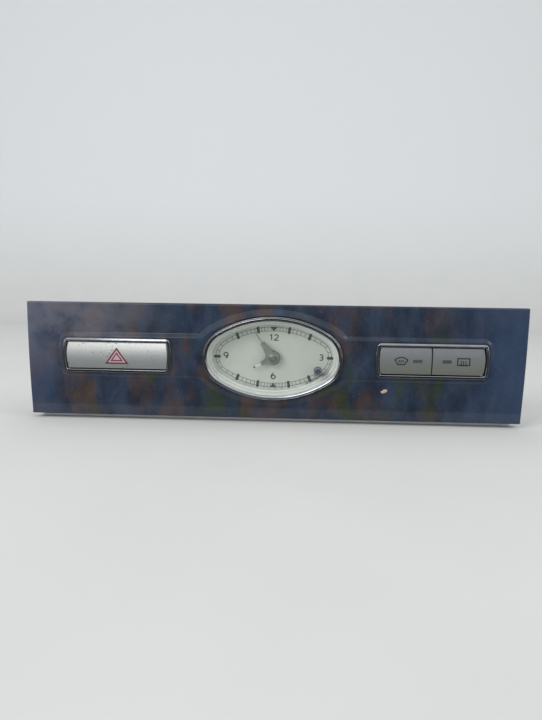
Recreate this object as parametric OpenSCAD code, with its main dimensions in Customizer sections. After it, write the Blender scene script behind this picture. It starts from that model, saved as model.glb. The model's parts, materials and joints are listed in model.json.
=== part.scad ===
// Dashboard trim panel with an oval analogue clock, a hazard switch and two screen heater switches.
// Every piece is drawn face up: x across the panel, y up the panel, z out towards the driver, and
// z = 0 at the back of the panel's rim. upright() then stands it on the carrier's lower edge, with
// its face towards -Y and the origin in the middle of that edge.

/* [Panel] */
// Width of the panel along its top edge
panel_w = 230; // [222:1:250]
// Height of the panel
panel_h = 53; // [52:0.5:58]
// How much narrower each side is at the bottom edge
panel_taper = 1; // [0:0.25:2]
// Depth of the rim, from its back to the edge of the face
panel_depth = 6; // [5.5:0.25:8]
// Thickness of the face
panel_wall = 2.6; // [2:0.1:3]
// Thickness of the rim
rim_wall = 2.2; // [1.6:0.1:3]
// Rise of the crowned face at mid-height
crown_rise = 0.8; // [0.5:0.1:1.2]
// Rounding of the top and bottom edges of the face
edge_round = 0.9; // [0.3:0.1:1.5]
// Height of the clock and switch line above the middle of the panel
line_rise = 2; // [0:0.2:2.4]
// Height of the raised band that carries the switches
band_rise = 0.7; // [0.4:0.1:1.2]
// Width of the band that shows round each switch bezel
band_margin = 1.7; // [1:0.1:2.5]
// Width of the raised collar above and below the clock
collar_w = 3.4; // [3.2:0.1:4]
// Width of the raised collar beside the clock
collar_side_w = 5.6; // [4.5:0.1:6.5]
// Height of the collar at the clock
collar_rise = 1.3; // [0.8:0.1:2]

/* [Carrier] */
// How far the carrier shows below the panel
lip = 2; // [1:0.25:4]
// How far the carrier stays inside each end of the panel
carrier_inset = 3.7; // [3:0.1:6]
// Thickness of the carrier's front plate
carrier_plate = 2.5; // [2:0.1:3.5]
// Thickness of the carrier's skirt
skirt_wall = 2; // [1.5:0.1:3]
// Depth of the carrier's skirt behind the panel
skirt_depth = 16; // [14:0.5:18]
// Diameter of the locating pegs
peg_d = 5; // [4:0.25:6]
// Length of the locating pegs behind their shoulders
peg_l = 8; // [6:0.5:10]
// Length of the clip towers behind the carrier's plate
tower_l = 20; // [18:0.5:24]
// Thickness of the spring clips' steel
clip_t = 0.6; // [0.4:0.1:0.8]
// How far each clip's barb stands out
clip_barb = 1.3; // [0.8:0.1:1.6]

/* [Clock] */
// Width of the clock bezel
clock_w = 64; // [62:0.2:67]
// Height of the clock bezel
clock_h = 38; // [36:0.2:39.4]
// Radius of the bezel's ends
clock_end_r = 13.5; // [12.5:0.1:14.5]
// Visible width of the bezel
clock_lip = 1.9; // [1.5:0.1:2.4]
// How far the bezel stands out of the face
clock_proud = 3.2; // [2.6:0.1:4]
// Depth of the dial behind the bezel's front
dial_depth = 7.8; // [7.2:0.1:9]
// Thickness of the lens at its edge
lens_t = 1.7; // [1.2:0.1:2]
// Thickness of the dial
dial_t = 0.8; // [0.5:0.1:1]
// Width of the sloping ring between lens and dial
dial_ring_w = 2.3; // [1.8:0.1:2.8]
// Thickness of the light guide behind the dial
guide_t = 3; // [2.6:0.1:3.6]
// Height of the space for the rear cover's parts
cover_room = 5.2; // [5:0.1:7]
// Place of the set button beside the clock's centre, as a share of the clock's width
set_share = 0.325; // [0.315:0.005:0.335]
// Place of the set button below the clock's centre
set_y = -5.4; // [-6:0.1:-4.8]
// Diameter of the set button
set_d = 3.9; // [3:0.1:4.2]
// Travel of the set button
set_travel = 1.2; // [0.6:0.1:1.4]

/* [Hands] */
// Length of the minute hand
minute_l = 14.4; // [13:0.1:15]
// Length of the hour hand
hour_l = 9.9; // [9:0.1:11]
// Thickness of the hands
hand_t = 0.5; // [0.3:0.1:0.6]
// Angle of the minute hand, clockwise from twelve
minute_at = -35; // [-180:1:180]
// Angle of the hour hand, clockwise from twelve
hour_at = -118; // [-180:1:180]

/* [Movement] */
// Tooth module between the minute arbor and the hour wheel
motion_m = 0.5; // [0.45:0.01:0.52]
// Tooth module between the minute arbor and the third wheel
drive_m = 0.35; // [0.33:0.01:0.36]
// Tooth module between the third wheel and the rotor
rotor_m = 0.3; // [0.28:0.01:0.31]
// Thickness of the wheels
wheel_t = 0.8; // [0.5:0.1:0.9]
// Thickness of the movement plates
plate_t = 1.2; // [0.9:0.1:1.5]
// Free space between the last wheel and the back plate
train_room = 0.8; // [0.5:0.1:2]

/* [Switches] */
// Width of a switch bezel
bezel_w = 50.7; // [48:0.1:51.5]
// Height of a switch bezel
bezel_h = 15.8; // [15:0.1:17]
// How far the bezel's ends bow out
bezel_bow = 0.9; // [0.5:0.1:1.4]
// Corner radius of the bezel
bezel_corner = 2.2; // [2:0.1:3]
// Visible width of the chrome
bezel_band = 1.3; // [1:0.05:1.4]
// Gap between chrome and button
button_gap = 0.45; // [0.3:0.05:0.6]
// How much nearer the clock each switch sits than the middle of the space beside the clock
switch_shift = 1.3; // [0:0.1:1.8]
// Rise of a button's crown
button_crown = 0.8; // [0.4:0.1:1.2]
// Gap between the two screen buttons
screen_gap = 0.5; // [0.3:0.1:0.8]
// Travel of the hazard button
hazard_travel = 2.5; // [1.5:0.1:3]
// Travel of the screen buttons
screen_travel = 2; // [1:0.1:2.4]
// Width of an indicator window
indicator_w = 4.1; // [3:0.1:5]
// Height of an indicator window
indicator_h = 1.4; // [1:0.1:2]
// Depth of the switch housings behind the carrier's plate
housing_depth = 15.5; // [15:0.1:17]

/* [Sockets] */
// Depth of each socket's mouth in front of its pins
socket_mouth = 6.5; // [5:0.1:9]
// Inner width of each socket
socket_w = 14; // [13.5:0.1:16]
// Inner height of each socket
socket_h = 6.6; // [5:0.1:7]
// Thickness of each socket's wall
socket_wall = 1.3; // [0.8:0.1:1.5]

/* [Fits] */
// Gap between pieces that fit together and stay put
fit = 0.15; // [0.1:0.01:0.2]
// Radial gap of a turning or sliding fit
running = 0.05; // [0.02:0.01:0.09]
// Radius of the screws' shanks
screw_r = 1.2; // [1:0.05:1.3]

/* [Hidden] */
$fn = 64;
over = 0.5;
arc_grain = 30;

// Levels, from the face to the back
face_z = panel_depth + crown_rise;
crown_r = (pow(panel_h / 2, 2) + pow(crown_rise, 2)) / (2 * crown_rise);
mid_y = lip + panel_h / 2;
line_y = mid_y + line_rise;
band_z = face_z + band_rise;

// Clock levels
bezel_front = face_z + clock_proud;
lip_t = 0.9;
lens_front = bezel_front - lip_t - 0.1;
lens_back = lens_front - lens_t;
dial_front = bezel_front - dial_depth;
dial_back = dial_front - dial_t;
ring_lip_t = 0.4;
ledge_t = 1.2;
ledge_back = dial_back - ledge_t;
guide_back = dial_back - guide_t;
front_back = guide_back - plate_t;
layer_gap = 0.6;
drive_gap = 0.8;
first_gap = 0.4;
back_front = front_back - first_gap - 4 * wheel_t - 2 * layer_gap - drive_gap - train_room;
back_back = back_front - plate_t;
board_t = 1.6;
board_front = back_back - 0.2;
board_back = board_front - board_t;
cover_t = 1.6;
cover_front = board_back - cover_room;
cover_back = cover_front - cover_t;
cover_seat = board_back - 2;
cover_screw_l = 6;

// Clock outlines, as offsets from the bezel's outer edge
skirt_t = 0.9;
tube_outer = -skirt_t - fit;
tube_wall = 1.15;
tube_inner = tube_outer - tube_wall;
ring_outer = tube_inner - fit;
dial_edge = ring_outer;
ring_top_w = 0.45;
ring_foot = ring_outer - dial_ring_w;
ledge_inner = ring_foot - 0.5;
opening_gap = 0.35;
flange_w = 2;
flange_t = 2;
flange_back = -carrier_plate - flange_t;

// Wheel train
cannon_teeth = 10;
motion_teeth = 30;
motion_pinion_teeth = 8;
hour_teeth = 32;
centre_teeth = 60;
third_pinion_teeth = 8;
third_teeth = 48;
rotor_teeth = 8;
pressure = 28;
addendum = 0.85;
dedendum = 1.12;
tooth_slack = 0.07;
motion_x = motion_m * (cannon_teeth + motion_teeth) / 2;
third_x = -drive_m * (centre_teeth + third_pinion_teeth) / 2;
rotor_reach = rotor_m * (third_teeth + rotor_teeth) / 2;
rotor_dir = 235;
rotor_x = third_x + rotor_reach * cos(rotor_dir);
rotor_y = rotor_reach * sin(rotor_dir);
pinion_extra = 0.2;
hour_z = front_back - first_gap - wheel_t;
motion_z = hour_z - layer_gap - wheel_t;
centre_z = motion_z - drive_gap - wheel_t;
third_z = centre_z - layer_gap - wheel_t;
arbor_r = 1;
tube_r = 1.5;
pivot_r = 0.6;
stud_r = 0.8;
magnet_r = 2.4;
stator_hole_r = 2.75;
stator_t = 1.4;
stator_z = centre_z - 0.2;
coil_r = 2;
coil_gap = 1.95;
coil_x = coil_r + coil_gap - clock_w / 2 - ring_outer;
coil_l = 9.4;
cheek_t = 0.8;
core_w = 1.6;

// Hands
hour_hand_z = dial_front + 1.8;
minute_hand_z = hour_hand_z + hand_t + 0.7;
cap_r = 2;
cap_h = 0.8;
minute_hub_r = 3;
hour_hub_r = 3.4;

// Set button
set_x = clock_w * set_share;
set_r = set_d / 2;
set_stem_r = 1.3;
set_collar_r = 1.85;
set_collar_t = 0.8;
set_nose_r = 1.25;
set_floor = 0.3;
set_end_gap = 0.4;
set_proud = 0.7;
set_chamfer = 0.4;
set_switch_h = 2.6;
set_switch_w = 6;
back_plate_end = set_x - set_switch_w / 2 - 1;
set_shoulder = front_back - 1.8;
set_head_back = lens_back - 0.3;
set_nose_back = board_front + set_floor + set_end_gap + set_travel;
set_wire = 0.3;

// Lamps of the clock
lamp_x = 12;
lamp_y = clock_h / 2 - 8.1;
lamp_r = 1.5;
lamp_gap = 0.3;
lamp_hole_r = lamp_r + 0.4;
holder_r = 2.4;
holder_flange_r = 3.8;
holder_flange_t = 1.6;
holder_grip = 1.8;
holder_floor = 1;

// Switch levels and outlines
bezel_t = 1;
neck_depth = 2.5;
neck_back = panel_depth - neck_depth;
neck_outer = -0.75;
opening_in = neck_outer + fit;
button_edge = -bezel_band - button_gap;
button_front = band_z + 0.75;
button_h = bezel_h + 2 * button_edge;
button_crown_r = (pow(button_h / 2, 2) + pow(button_crown, 2)) / (2 * button_crown);
button_wall = 1.4;
button_inside = button_front - button_crown - button_wall;
button_end_gap = 0.6;
housing_front = -carrier_plate;
bridge_t = 2.5;
bridge_back = housing_front - bridge_t;
housing_back = housing_front - housing_depth;
switch_x = (clock_w + panel_w) / 4 - switch_shift;
housing_w = bezel_w - 5.7;
housing_h = bezel_h - 0.8;
housing_wall = 1.5;
plug_w = housing_w - 2 * housing_wall - 2 * fit;
plug_h = housing_h - 2 * housing_wall - 2 * fit;
housing_flange_t = 2;
housing_ear_r = 2.8;
housing_ear_x = 15;
housing_ear_y = bezel_h / 2 + 2.2;
base_plug = 2;
base_front = housing_back + base_plug;
base_t = 2;
base_back = housing_back - base_t;
stem_r = 4;
stop_gap = 0.3;
stop_t = 1.4;
spring_wire = 0.6;
screen_post_r = 2.5;
screen_collar_r = 4.4;
screen_x = (bezel_w / 2 + button_edge + screen_gap / 2) / 2;
screen_board_t = 1.6;
screen_board_front = base_front + screen_board_t;
micro_h = 3;
micro_floor = 0.2;
micro_w = 5;
pin_w = 0.8;
pin_l = 5;
socket_outer_w = socket_w + 2 * socket_wall;
socket_outer_h = socket_h + 2 * socket_wall;
indicator_x = 5.4;

// Carrier
carrier_half = panel_w / 2 - carrier_inset;
carrier_h = lip + panel_h - 4;
column_x = carrier_half - 5.3;
peg_shoulder = -skirt_depth - 1;
peg_chamfer = 0.8;
tower_w = 5;
tower_h = 6;
tower_back = -carrier_plate - tower_l;
clip_reach = tower_h / 2 + fit + clip_t + clip_barb + 0.4;
tower_low_y = skirt_wall + clip_reach;
tower_high_y = carrier_h - skirt_wall - clip_reach;
column_r = peg_d / 2 + 1.1;
post_r = 2.8;
ear_x = clock_w / 2 - 5.6;
ear_y = clock_h / 2 - 4.4;
ear_r = 3.4;
cover_ear_x = clock_w / 2 - 2;
cover_ear_y = 7;
cover_ear_r = 2.4;
head_r = 2.1;
head_h = 1.5;
column_screw_x = column_x - column_r - head_r + 0.2;
column_screw_dy = bezel_h / 2 + 2.7;
post_x = clock_w / 2 + 5.9;
post_low_y = skirt_wall + 6;
post_high_y = carrier_h - skirt_wall - head_r - 0.4;
screw_slack = 0.2;
boss_h = 2.5;

// Outlines. A path is a list of arcs, each [centre x, centre y, radius, from angle, to angle].

// Oval of four arcs that meet smoothly
function oval(w, h, r) =
    let (a = w / 2, b = h / 2)
    let (top_r = (pow(a - r, 2) + pow(b, 2) - pow(r, 2)) / (2 * (b - r)))
    let (t = atan2(top_r - b, a - r))
    [
        [a - r, 0, r, -t, t],
        [0, b - top_r, top_r, t, 180 - t],
        [r - a, 0, r, 180 - t, 180 + t],
        [0, top_r - b, top_r, 180 + t, 360 - t]
    ];

// Long rectangle with bowed ends and round corners
function barrel(w, h, bow, r) =
    let (a = w / 2, b = h / 2)
    let (end_r = (pow(b, 2) + pow(bow, 2)) / (2 * bow))
    let (end_x = a - end_r, corner_y = b - r)
    let (corner_x = end_x + sqrt(pow(end_r - r, 2) - pow(corner_y, 2)))
    let (t = atan2(corner_y, corner_x - end_x))
    [
        [end_x, 0, end_r, -t, t],
        [corner_x, corner_y, r, t, 90],
        [-corner_x, corner_y, r, 90, 180 - t],
        [-end_x, 0, end_r, 180 - t, 180 + t],
        [-corner_x, -corner_y, r, 180 + t, 270],
        [corner_x, -corner_y, r, 270, 360 - t]
    ];

function on_arc(s, angle, d = 0) = [s[0], s[1]] + (s[2] + d) * [cos(angle), sin(angle)];
function run_after(path, i) =
    norm(on_arc(path[(i + 1) % len(path)], path[(i + 1) % len(path)][3]) - on_arc(path[i], path[i][4]));
function is_straight(path, i) = run_after(path, i) > 0.01;

function arc_steps(s) = max(4, ceil((s[4] - s[3]) * sqrt(s[2]) / arc_grain));

// Points of a path moved out by d, with no point twice
function outline(path, d = 0) = [
    for (i = [0 : len(path) - 1])
        let (s = path[i], steps = arc_steps(s))
        for (k = [0 : is_straight(path, i) ? steps : steps - 1])
            on_arc(s, s[3] + (s[4] - s[3]) * k / steps, d)
];

clock_path = oval(clock_w, clock_h, clock_end_r);
bezel_path = barrel(bezel_w, bezel_h, bezel_bow, bezel_corner);
collar_path = oval(clock_w + 2 * collar_side_w, clock_h + 2 * collar_w, clock_end_r + collar_w);
band_path = barrel(
    2 * switch_x + bezel_w + 2 * band_margin, bezel_h + 2 * band_margin, bezel_bow, bezel_corner + band_margin
);

// Shapes that many pieces share

module upright() translate([0, -skirt_depth / 2, 0]) rotate([90, 0, 0]) children();
module piece(shade) upright() color(shade) children();
module on_line(x = 0) translate([x, line_y, 0]) children();
module both_sides(x, y) for (sx = [-1, 1], sy = [-1, 1]) translate([sx * x, sy * y, 0]) children();

module slab(path, d, z0, z1)
    translate([0, 0, z0]) linear_extrude(z1 - z0) polygon(outline(path, d));
module block(w, h, z0, z1)
    translate([-w / 2, -h / 2, z0]) cube([w, h, z1 - z0]);
module rod(r, z0, z1)
    translate([0, 0, z0]) cylinder(r = r, h = z1 - z0);

// Sweeps a profile round a path as one closed ring. The profile runs anticlockwise: its x is the
// distance out from the path and its y is z.
module sweep(path, profile) {
    n = len(outline(path));
    m = len(profile);
    points = [for (p = profile) each [for (q = outline(path, p[0])) [q[0], q[1], p[1]]]];
    faces = [
        for (k = [0 : m - 1], j = [0 : n - 1])
            let (a = k * n + j, b = k * n + (j + 1) % n)
            let (c = (k + 1) % m * n + j, d = (k + 1) % m * n + (j + 1) % n)
            each [[a, c, b], [b, c, d]]
    ];
    polyhedron(points, faces);
}

// Pan head screw that points towards +z, with its head's seat at z
module screw(z, length)
    translate([0, 0, z]) {
        rotate_extrude() polygon([
            [0, -head_h], [head_r * 0.6, -head_h], [head_r, -head_h * 0.5], [head_r, 0], [0, 0]
        ]);
        rod(screw_r, -0.01, length);
    }

// Compression spring, wound as one tube between two levels
spring_sides = 6;
spring_rings = 8;
function spring_ring(r, wire, z0, z1, curls, k) =
    let (turn = k / spring_rings, angle = 360 * turn)
    let (z = z0 + wire / 2 + (z1 - z0 - wire) * turn / curls)
    [
        for (s = [0 : spring_sides - 1])
            let (side = 360 * s / spring_sides)
            let (reach = r + wire / 2 * cos(side))
            [reach * cos(angle), reach * sin(angle), z + wire / 2 * sin(side)]
    ];
function spring_gap(wire, z0, z1, curls) = (z1 - z0 - wire) / curls - wire;

module coil_spring(r, wire, z0, z1, curls) {
    last = curls * spring_rings;
    n = spring_sides;
    points = [for (k = [0 : last]) each spring_ring(r, wire, z0, z1, curls, k)];
    walls = [
        for (k = [0 : last - 1], s = [0 : n - 1])
            let (a = k * n + s, b = k * n + (s + 1) % n)
            each [[a, b, a + n], [b, b + n, a + n]]
    ];
    first_end = [for (s = [1 : n - 2]) [0, s + 1, s]];
    last_end = [for (s = [1 : n - 2]) [last * n, last * n + s, last * n + s + 1]];
    echo(spring_gap = spring_gap(wire, z0, z1, curls));
    polyhedron(points, concat(walls, first_end, last_end));
}

// Involute wheel with a tooth centred on +x
flank_steps = 2;
function involute(a) = tan(a) * 180 / PI - a;
function tooth_half(r, pitch_r, teeth) =
    let (base_r = pitch_r * cos(pressure))
    90 / teeth - tooth_slack / 2 / pitch_r * 180 / PI + involute(pressure)
    - involute(acos(min(1, base_r / r)));
function gear_points(teeth, m) =
    let (pitch_r = m * teeth / 2, tip_r = pitch_r + addendum * m, root_r = pitch_r - dedendum * m)
    let (start_r = max(root_r, pitch_r * cos(pressure)))
    let (radii = [root_r, for (i = [0 : flank_steps]) start_r + (tip_r - start_r) * i / flank_steps])
    let (low = root_r < start_r ? 0 : 1, high = len(radii) - 1)
    [
        for (k = [0 : teeth - 1])
            let (middle = 360 * k / teeth)
            each [
                for (i = [low : high])
                    radii[i] * [
                        cos(middle - tooth_half(max(radii[i], start_r), pitch_r, teeth)),
                        sin(middle - tooth_half(max(radii[i], start_r), pitch_r, teeth))
                    ],
                for (i = [high : -1 : low])
                    radii[i] * [
                        cos(middle + tooth_half(max(radii[i], start_r), pitch_r, teeth)),
                        sin(middle + tooth_half(max(radii[i], start_r), pitch_r, teeth))
                    ]
            ]
    ];
module gear(teeth, m, z0, z1, turn = 0)
    translate([0, 0, z0]) rotate([0, 0, turn]) linear_extrude(z1 - z0) polygon(gear_points(teeth, m));

// Open box for a plug, with its floor at z1 and its mouth at z0
module plug_box(z0, z1)
    difference() {
        block(socket_outer_w, socket_outer_h, z0, z1);
        block(socket_w, socket_h, z0 - over, z1 - socket_wall);
    }

// Places that pieces share

module fascia_screw_places() {
    for (sx = [-1, 1], y = [post_low_y, post_high_y]) translate([sx * post_x, y, 0]) children();
    on_line() both_sides(column_screw_x, column_screw_dy) children();
}
module clock_screw_places() on_line() both_sides(ear_x, ear_y) children();
module cover_screw_places() on_line() both_sides(cover_ear_x, cover_ear_y) children();
module housing_screw_places(x)
    for (s = [-1, 1]) on_line(x + s * housing_ear_x) translate([0, s * housing_ear_y, 0]) children();
module tower_places()
    for (sx = [-1, 1], y = [tower_low_y, tower_high_y]) translate([sx * column_x, y, 0]) children();
module lamp_places() for (sx = [-1, 1]) on_line(sx * lamp_x) translate([0, lamp_y, 0]) children();
module set_place() on_line(set_x) translate([0, set_y, 0]) children();

// Panel

module panel_outline(d)
    polygon([
        [-panel_w / 2 + panel_taper + d, lip + d], [panel_w / 2 - panel_taper - d, lip + d],
        [panel_w / 2 - d, lip + panel_h - d], [-panel_w / 2 + d, lip + panel_h - d]
    ]);
module crown(depth)
    translate([-panel_w, mid_y, face_z - crown_r]) rotate([0, 90, 0])
        cylinder(r = crown_r - depth, h = 2 * panel_w, $fn = 256);
module edge_cutter(y, side)
    translate([0, y, panel_depth]) mirror([0, side < 0 ? 1 : 0, 0]) difference() {
        translate([-panel_w, -edge_round, -edge_round])
            cube([2 * panel_w, edge_round + over, edge_round + over]);
        translate([-panel_w - over, -edge_round, -edge_round]) rotate([0, 90, 0])
            cylinder(r = edge_round, h = 2 * panel_w + 2 * over);
    }
collar_root = face_z - 1.4;
collar_z = face_z + collar_rise;
collar_slope = 2.3;
collar_flat = 0.6;
collar_profile = [
    [-collar_slope - collar_flat, collar_root], [0, collar_root], [0, face_z - 0.7],
    [-collar_slope * 0.35, face_z + collar_rise * 0.4], [-collar_slope * 0.7, face_z + collar_rise * 0.85],
    [-collar_slope, collar_z], [-collar_slope - collar_flat, collar_z]
];
band_root = face_z - 1;
band_slope = 0.9;
band_profile = [
    [-band_slope, band_root], [band_slope, band_root], [band_slope, face_z - 0.2],
    [0, band_z], [-band_slope, band_z]
];

module fascia_panel() piece([0.10, 0.10, 0.16]) {
    difference() {
        union() {
            intersection() {
                linear_extrude(face_z + over) panel_outline(0);
                crown(0);
            }
            intersection() {
                on_line() {
                    slab(band_path, -band_slope / 2, band_root, band_z);
                    sweep(band_path, band_profile);
                    slab(collar_path, -collar_slope - collar_flat / 2, collar_root, collar_z);
                    sweep(collar_path, collar_profile);
                }
                linear_extrude(bezel_front) panel_outline(0);
            }
        }
        edge_cutter(lip + panel_h, 1);
        edge_cutter(lip, -1);
        intersection() {
            translate([0, 0, -over]) linear_extrude(face_z + over) panel_outline(rim_wall);
            crown(panel_wall);
        }
        for (x = [-switch_x, switch_x]) on_line(x) slab(bezel_path, opening_in, -over, band_z + over);
        on_line() slab(clock_path, opening_gap, -over, bezel_front);
    }
    fascia_screw_places() difference() {
        rod(post_r, 0, panel_depth - panel_wall + 0.8);
        rod(screw_r + running, -over, panel_depth - panel_wall - 0.4);
    }
}

// Carrier

module carrier_frame() piece([0.42, 0.43, 0.45]) difference() {
    union() {
        translate([-carrier_half, 0, -carrier_plate]) cube([2 * carrier_half, carrier_h, carrier_plate]);
        translate([0, 0, -skirt_depth]) difference() {
            translate([-carrier_half, 0, 0]) cube([2 * carrier_half, carrier_h, skirt_depth - over]);
            translate([skirt_wall - carrier_half, skirt_wall, -over])
                cube([2 * (carrier_half - skirt_wall), carrier_h - 2 * skirt_wall, skirt_depth + over]);
        }
        tower_places() block(tower_w, tower_h, tower_back, -over);
        for (sx = [-1, 1]) on_line(sx * column_x) {
            rod(column_r, peg_shoulder, -over);
            rod(peg_d / 2, peg_shoulder - peg_l, peg_shoulder + over);
            translate([0, 0, peg_shoulder - peg_l - peg_chamfer])
                cylinder(r1 = peg_d / 2 - peg_chamfer, r2 = peg_d / 2, h = peg_chamfer);
        }
        clock_screw_places() rod(post_r, -over, boss_h);
        for (x = [-switch_x, switch_x]) housing_screw_places(x) rod(screw_r + 1, -over, boss_h);
    }
    for (x = [-switch_x, switch_x])
        on_line(x) slab(bezel_path, opening_in, -carrier_plate - over, over + boss_h);
    on_line() slab(clock_path, opening_gap, -carrier_plate - over, over + boss_h);
    case_flange(fit, -skirt_depth - over, -carrier_plate);
    fascia_screw_places() rod(screw_r + screw_slack, -carrier_plate - over, over);
    clock_screw_places() rod(screw_r + running, -carrier_plate - over, boss_h - 0.6);
    for (x = [-switch_x, switch_x])
        housing_screw_places(x) rod(screw_r + running, -carrier_plate - over, boss_h - 0.6);
}

module carrier_screws() piece([0.3, 0.3, 0.32])
    fascia_screw_places() screw(-carrier_plate, carrier_plate + panel_depth - panel_wall - 0.8);

clip_l = 12;
clip_bend = 9.5;
clip_peak = 5.5;
clip_foot = 2;
// The upper half of a clip's section, from its free end to the tower's back, at a distance d from the tower
function clip_half(d) = [
    [tower_h / 2 + d, tower_back + clip_l], [tower_h / 2 + d, tower_back + clip_bend],
    [tower_h / 2 + clip_barb + d, tower_back + clip_peak], [tower_h / 2 + d, tower_back + clip_foot],
    [tower_h / 2 + d, tower_back - d]
];
function flipped(points) = [for (p = points) [-p[0], p[1]]];
function backwards(points) = [for (i = [len(points) - 1 : -1 : 0]) points[i]];
clip_outside = clip_half(fit + clip_t);
clip_inside = clip_half(fit);
clip_w = tower_w - 1;
module spring_clips() piece([0.55, 0.56, 0.58])
    tower_places() translate([-clip_w / 2, 0, 0]) rotate([90, 0, 90]) linear_extrude(clip_w)
        polygon(concat(
            clip_outside, backwards(flipped(clip_outside)), flipped(clip_inside), backwards(clip_inside)
        ));

// Switches

// Two rolled beads with a groove between them, on a neck that drops into the panel
bezel_profile = [
    [neck_outer, neck_back], [neck_outer, band_z], [0, band_z], [0, band_z + bezel_t * 0.65],
    [-bezel_band * 0.12, band_z + bezel_t * 0.92], [-bezel_band * 0.28, band_z + bezel_t],
    [-bezel_band * 0.4, band_z + bezel_t * 0.9], [-bezel_band * 0.46, band_z + bezel_t * 0.7],
    [-bezel_band * 0.54, band_z + bezel_t * 0.9], [-bezel_band * 0.7, band_z + bezel_t * 0.95],
    [-bezel_band * 0.85, band_z + bezel_t * 0.8], [-bezel_band, band_z + bezel_t * 0.3],
    [-bezel_band, neck_back]
];
module switch_bezel(x) on_line(x) sweep(bezel_path, bezel_profile);
module button_crown_bar()
    translate([-bezel_w, 0, button_front - button_crown_r]) rotate([0, 90, 0])
        cylinder(r = button_crown_r, h = 2 * bezel_w, $fn = 128);
function button_back(travel) = housing_front + travel + button_end_gap;
module button_shell(travel) difference() {
    intersection() {
        slab(bezel_path, button_edge, button_back(travel), button_front + over);
        button_crown_bar();
    }
    block(bezel_w + 2 * button_edge - 2 * button_wall - 2 * bezel_bow,
        button_h - 2 * button_wall, button_back(travel) - over, button_inside);
}
module housing_body() {
    difference() {
        union() {
            block(housing_w, housing_h, housing_back, housing_front);
            for (s = [-1, 1]) translate([s * housing_ear_x, 0, 0]) {
                translate([0, s * housing_ear_y, 0])
                    rod(housing_ear_r, housing_front - housing_flange_t, housing_front);
                translate([0, s * housing_ear_y / 2, 0])
                    block(2 * housing_ear_r, housing_ear_y, housing_front - housing_flange_t, housing_front);
            }
        }
        block(housing_w - 2 * housing_wall, housing_h - 2 * housing_wall, housing_back - over, bridge_back);
        for (s = [-1, 1]) translate([s * housing_ear_x, s * housing_ear_y, 0])
            rod(screw_r + screw_slack, housing_front - housing_flange_t - over, housing_front + over);
    }
}
module switch_base(pins, pin_y) difference() {
    union() {
        block(housing_w, housing_h, base_back, housing_back);
        block(plug_w, plug_h, housing_back - 0.01, base_front);
        plug_box(base_back - pin_l - socket_mouth, base_back + socket_wall);
    }
    for (x = pins) translate([x, pin_y, 0])
        block(pin_w + 2 * running, pin_w + 2 * running, base_back - over, base_front + over);
}
module switch_screws(x)
    housing_screw_places(x)
        screw(housing_front - housing_flange_t, housing_flange_t + carrier_plate + boss_h - 1);

hazard_pins = [-6, -2, 2, 6];
hazard_contact_x = 6;
hazard_bar_w = 16;
hazard_head_w = 30;
hazard_head_t = 1.4;
contact_w = 2.4;
hazard_bar_front = bridge_back - stop_gap;
hazard_bar_back = hazard_bar_front - stop_t;
hazard_spring_r = 3.3;
hazard_tail_r = 2.3;
hazard_lamp_r = 1.5;
hazard_lamp_h = 3;
hazard_tail_back = base_front + hazard_lamp_h + hazard_travel + 0.7;
contact_t = 0.4;
contact_y = stem_r - 0.7;
contact_gap = 0.2;
contact_l = 3;
contact_back = hazard_bar_back - contact_l;
contact_lap = 0.4;

module hazard_bezel() piece([0.8, 0.81, 0.83]) switch_bezel(-switch_x);
module hazard_button() piece([0.72, 0.72, 0.71]) on_line(-switch_x) button_shell(hazard_travel);
module hazard_plunger() piece([0.85, 0.85, 0.82]) on_line(-switch_x) {
    block(hazard_head_w, button_h - 2 * button_wall - 2 * fit, button_inside - hazard_head_t, button_inside);
    rod(stem_r, hazard_bar_back, button_inside - hazard_head_t + 0.01);
    block(hazard_bar_w, 2 * stem_r, hazard_bar_back, hazard_bar_front);
    rod(hazard_tail_r, hazard_tail_back, hazard_bar_back + 0.01);
}
module hazard_spring() piece([0.6, 0.6, 0.62]) on_line(-switch_x)
    coil_spring(hazard_spring_r, spring_wire, base_front, hazard_bar_back, 6);
module hazard_contact_bridge() piece([0.75, 0.55, 0.3]) on_line(-switch_x)
    for (s = [-1, 1]) translate([s * hazard_contact_x, 0, 0]) {
        block(contact_w, 2 * stem_r - 1, hazard_bar_back - contact_t, hazard_bar_back);
        for (t = [-1, 1]) translate([0, t * contact_y, 0])
            block(contact_w, contact_t, contact_back, hazard_bar_back - contact_t + 0.01);
    }
module hazard_housing() piece([0.07, 0.07, 0.08]) on_line(-switch_x) difference() {
    housing_body();
    rod(stem_r + running, bridge_back - over, housing_front + over);
}
module hazard_base() piece([0.12, 0.12, 0.13]) on_line(-switch_x) switch_base(hazard_pins, 0);
module hazard_terminals() piece([0.78, 0.72, 0.5]) on_line(-switch_x)
    for (x = hazard_pins) translate([x, 0, 0]) {
        block(pin_w, pin_w, base_back - pin_l, base_front);
        if (abs(x) == hazard_contact_x)
            block(pin_w, 2 * (contact_y - contact_gap) - contact_t, base_front,
                contact_back - hazard_travel + contact_lap);
    }
module hazard_lamp() piece([0.95, 0.85, 0.8]) on_line(-switch_x) {
    rod(hazard_lamp_r, base_front, base_front + hazard_lamp_h);
    rod(hazard_lamp_r + 0.3, base_front, base_front + 0.8);
}
module hazard_screws() piece([0.3, 0.3, 0.32]) switch_screws(-switch_x);

screen_pins = [-5, -2.5, 0, 2.5, 5];
screen_pin_y = -2;
screen_collar_front = bridge_back - stop_gap;
screen_collar_back = screen_collar_front - 1.2;
screen_nose_r = 1.2;
screen_nose_back = screen_board_front + micro_floor + screen_travel + 0.2;
screen_spring_r = 3.9;
screen_spring_wire = 0.5;
screen_lamp_h = 1.4;
indicator_back = button_back(screen_travel) + 1;

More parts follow.
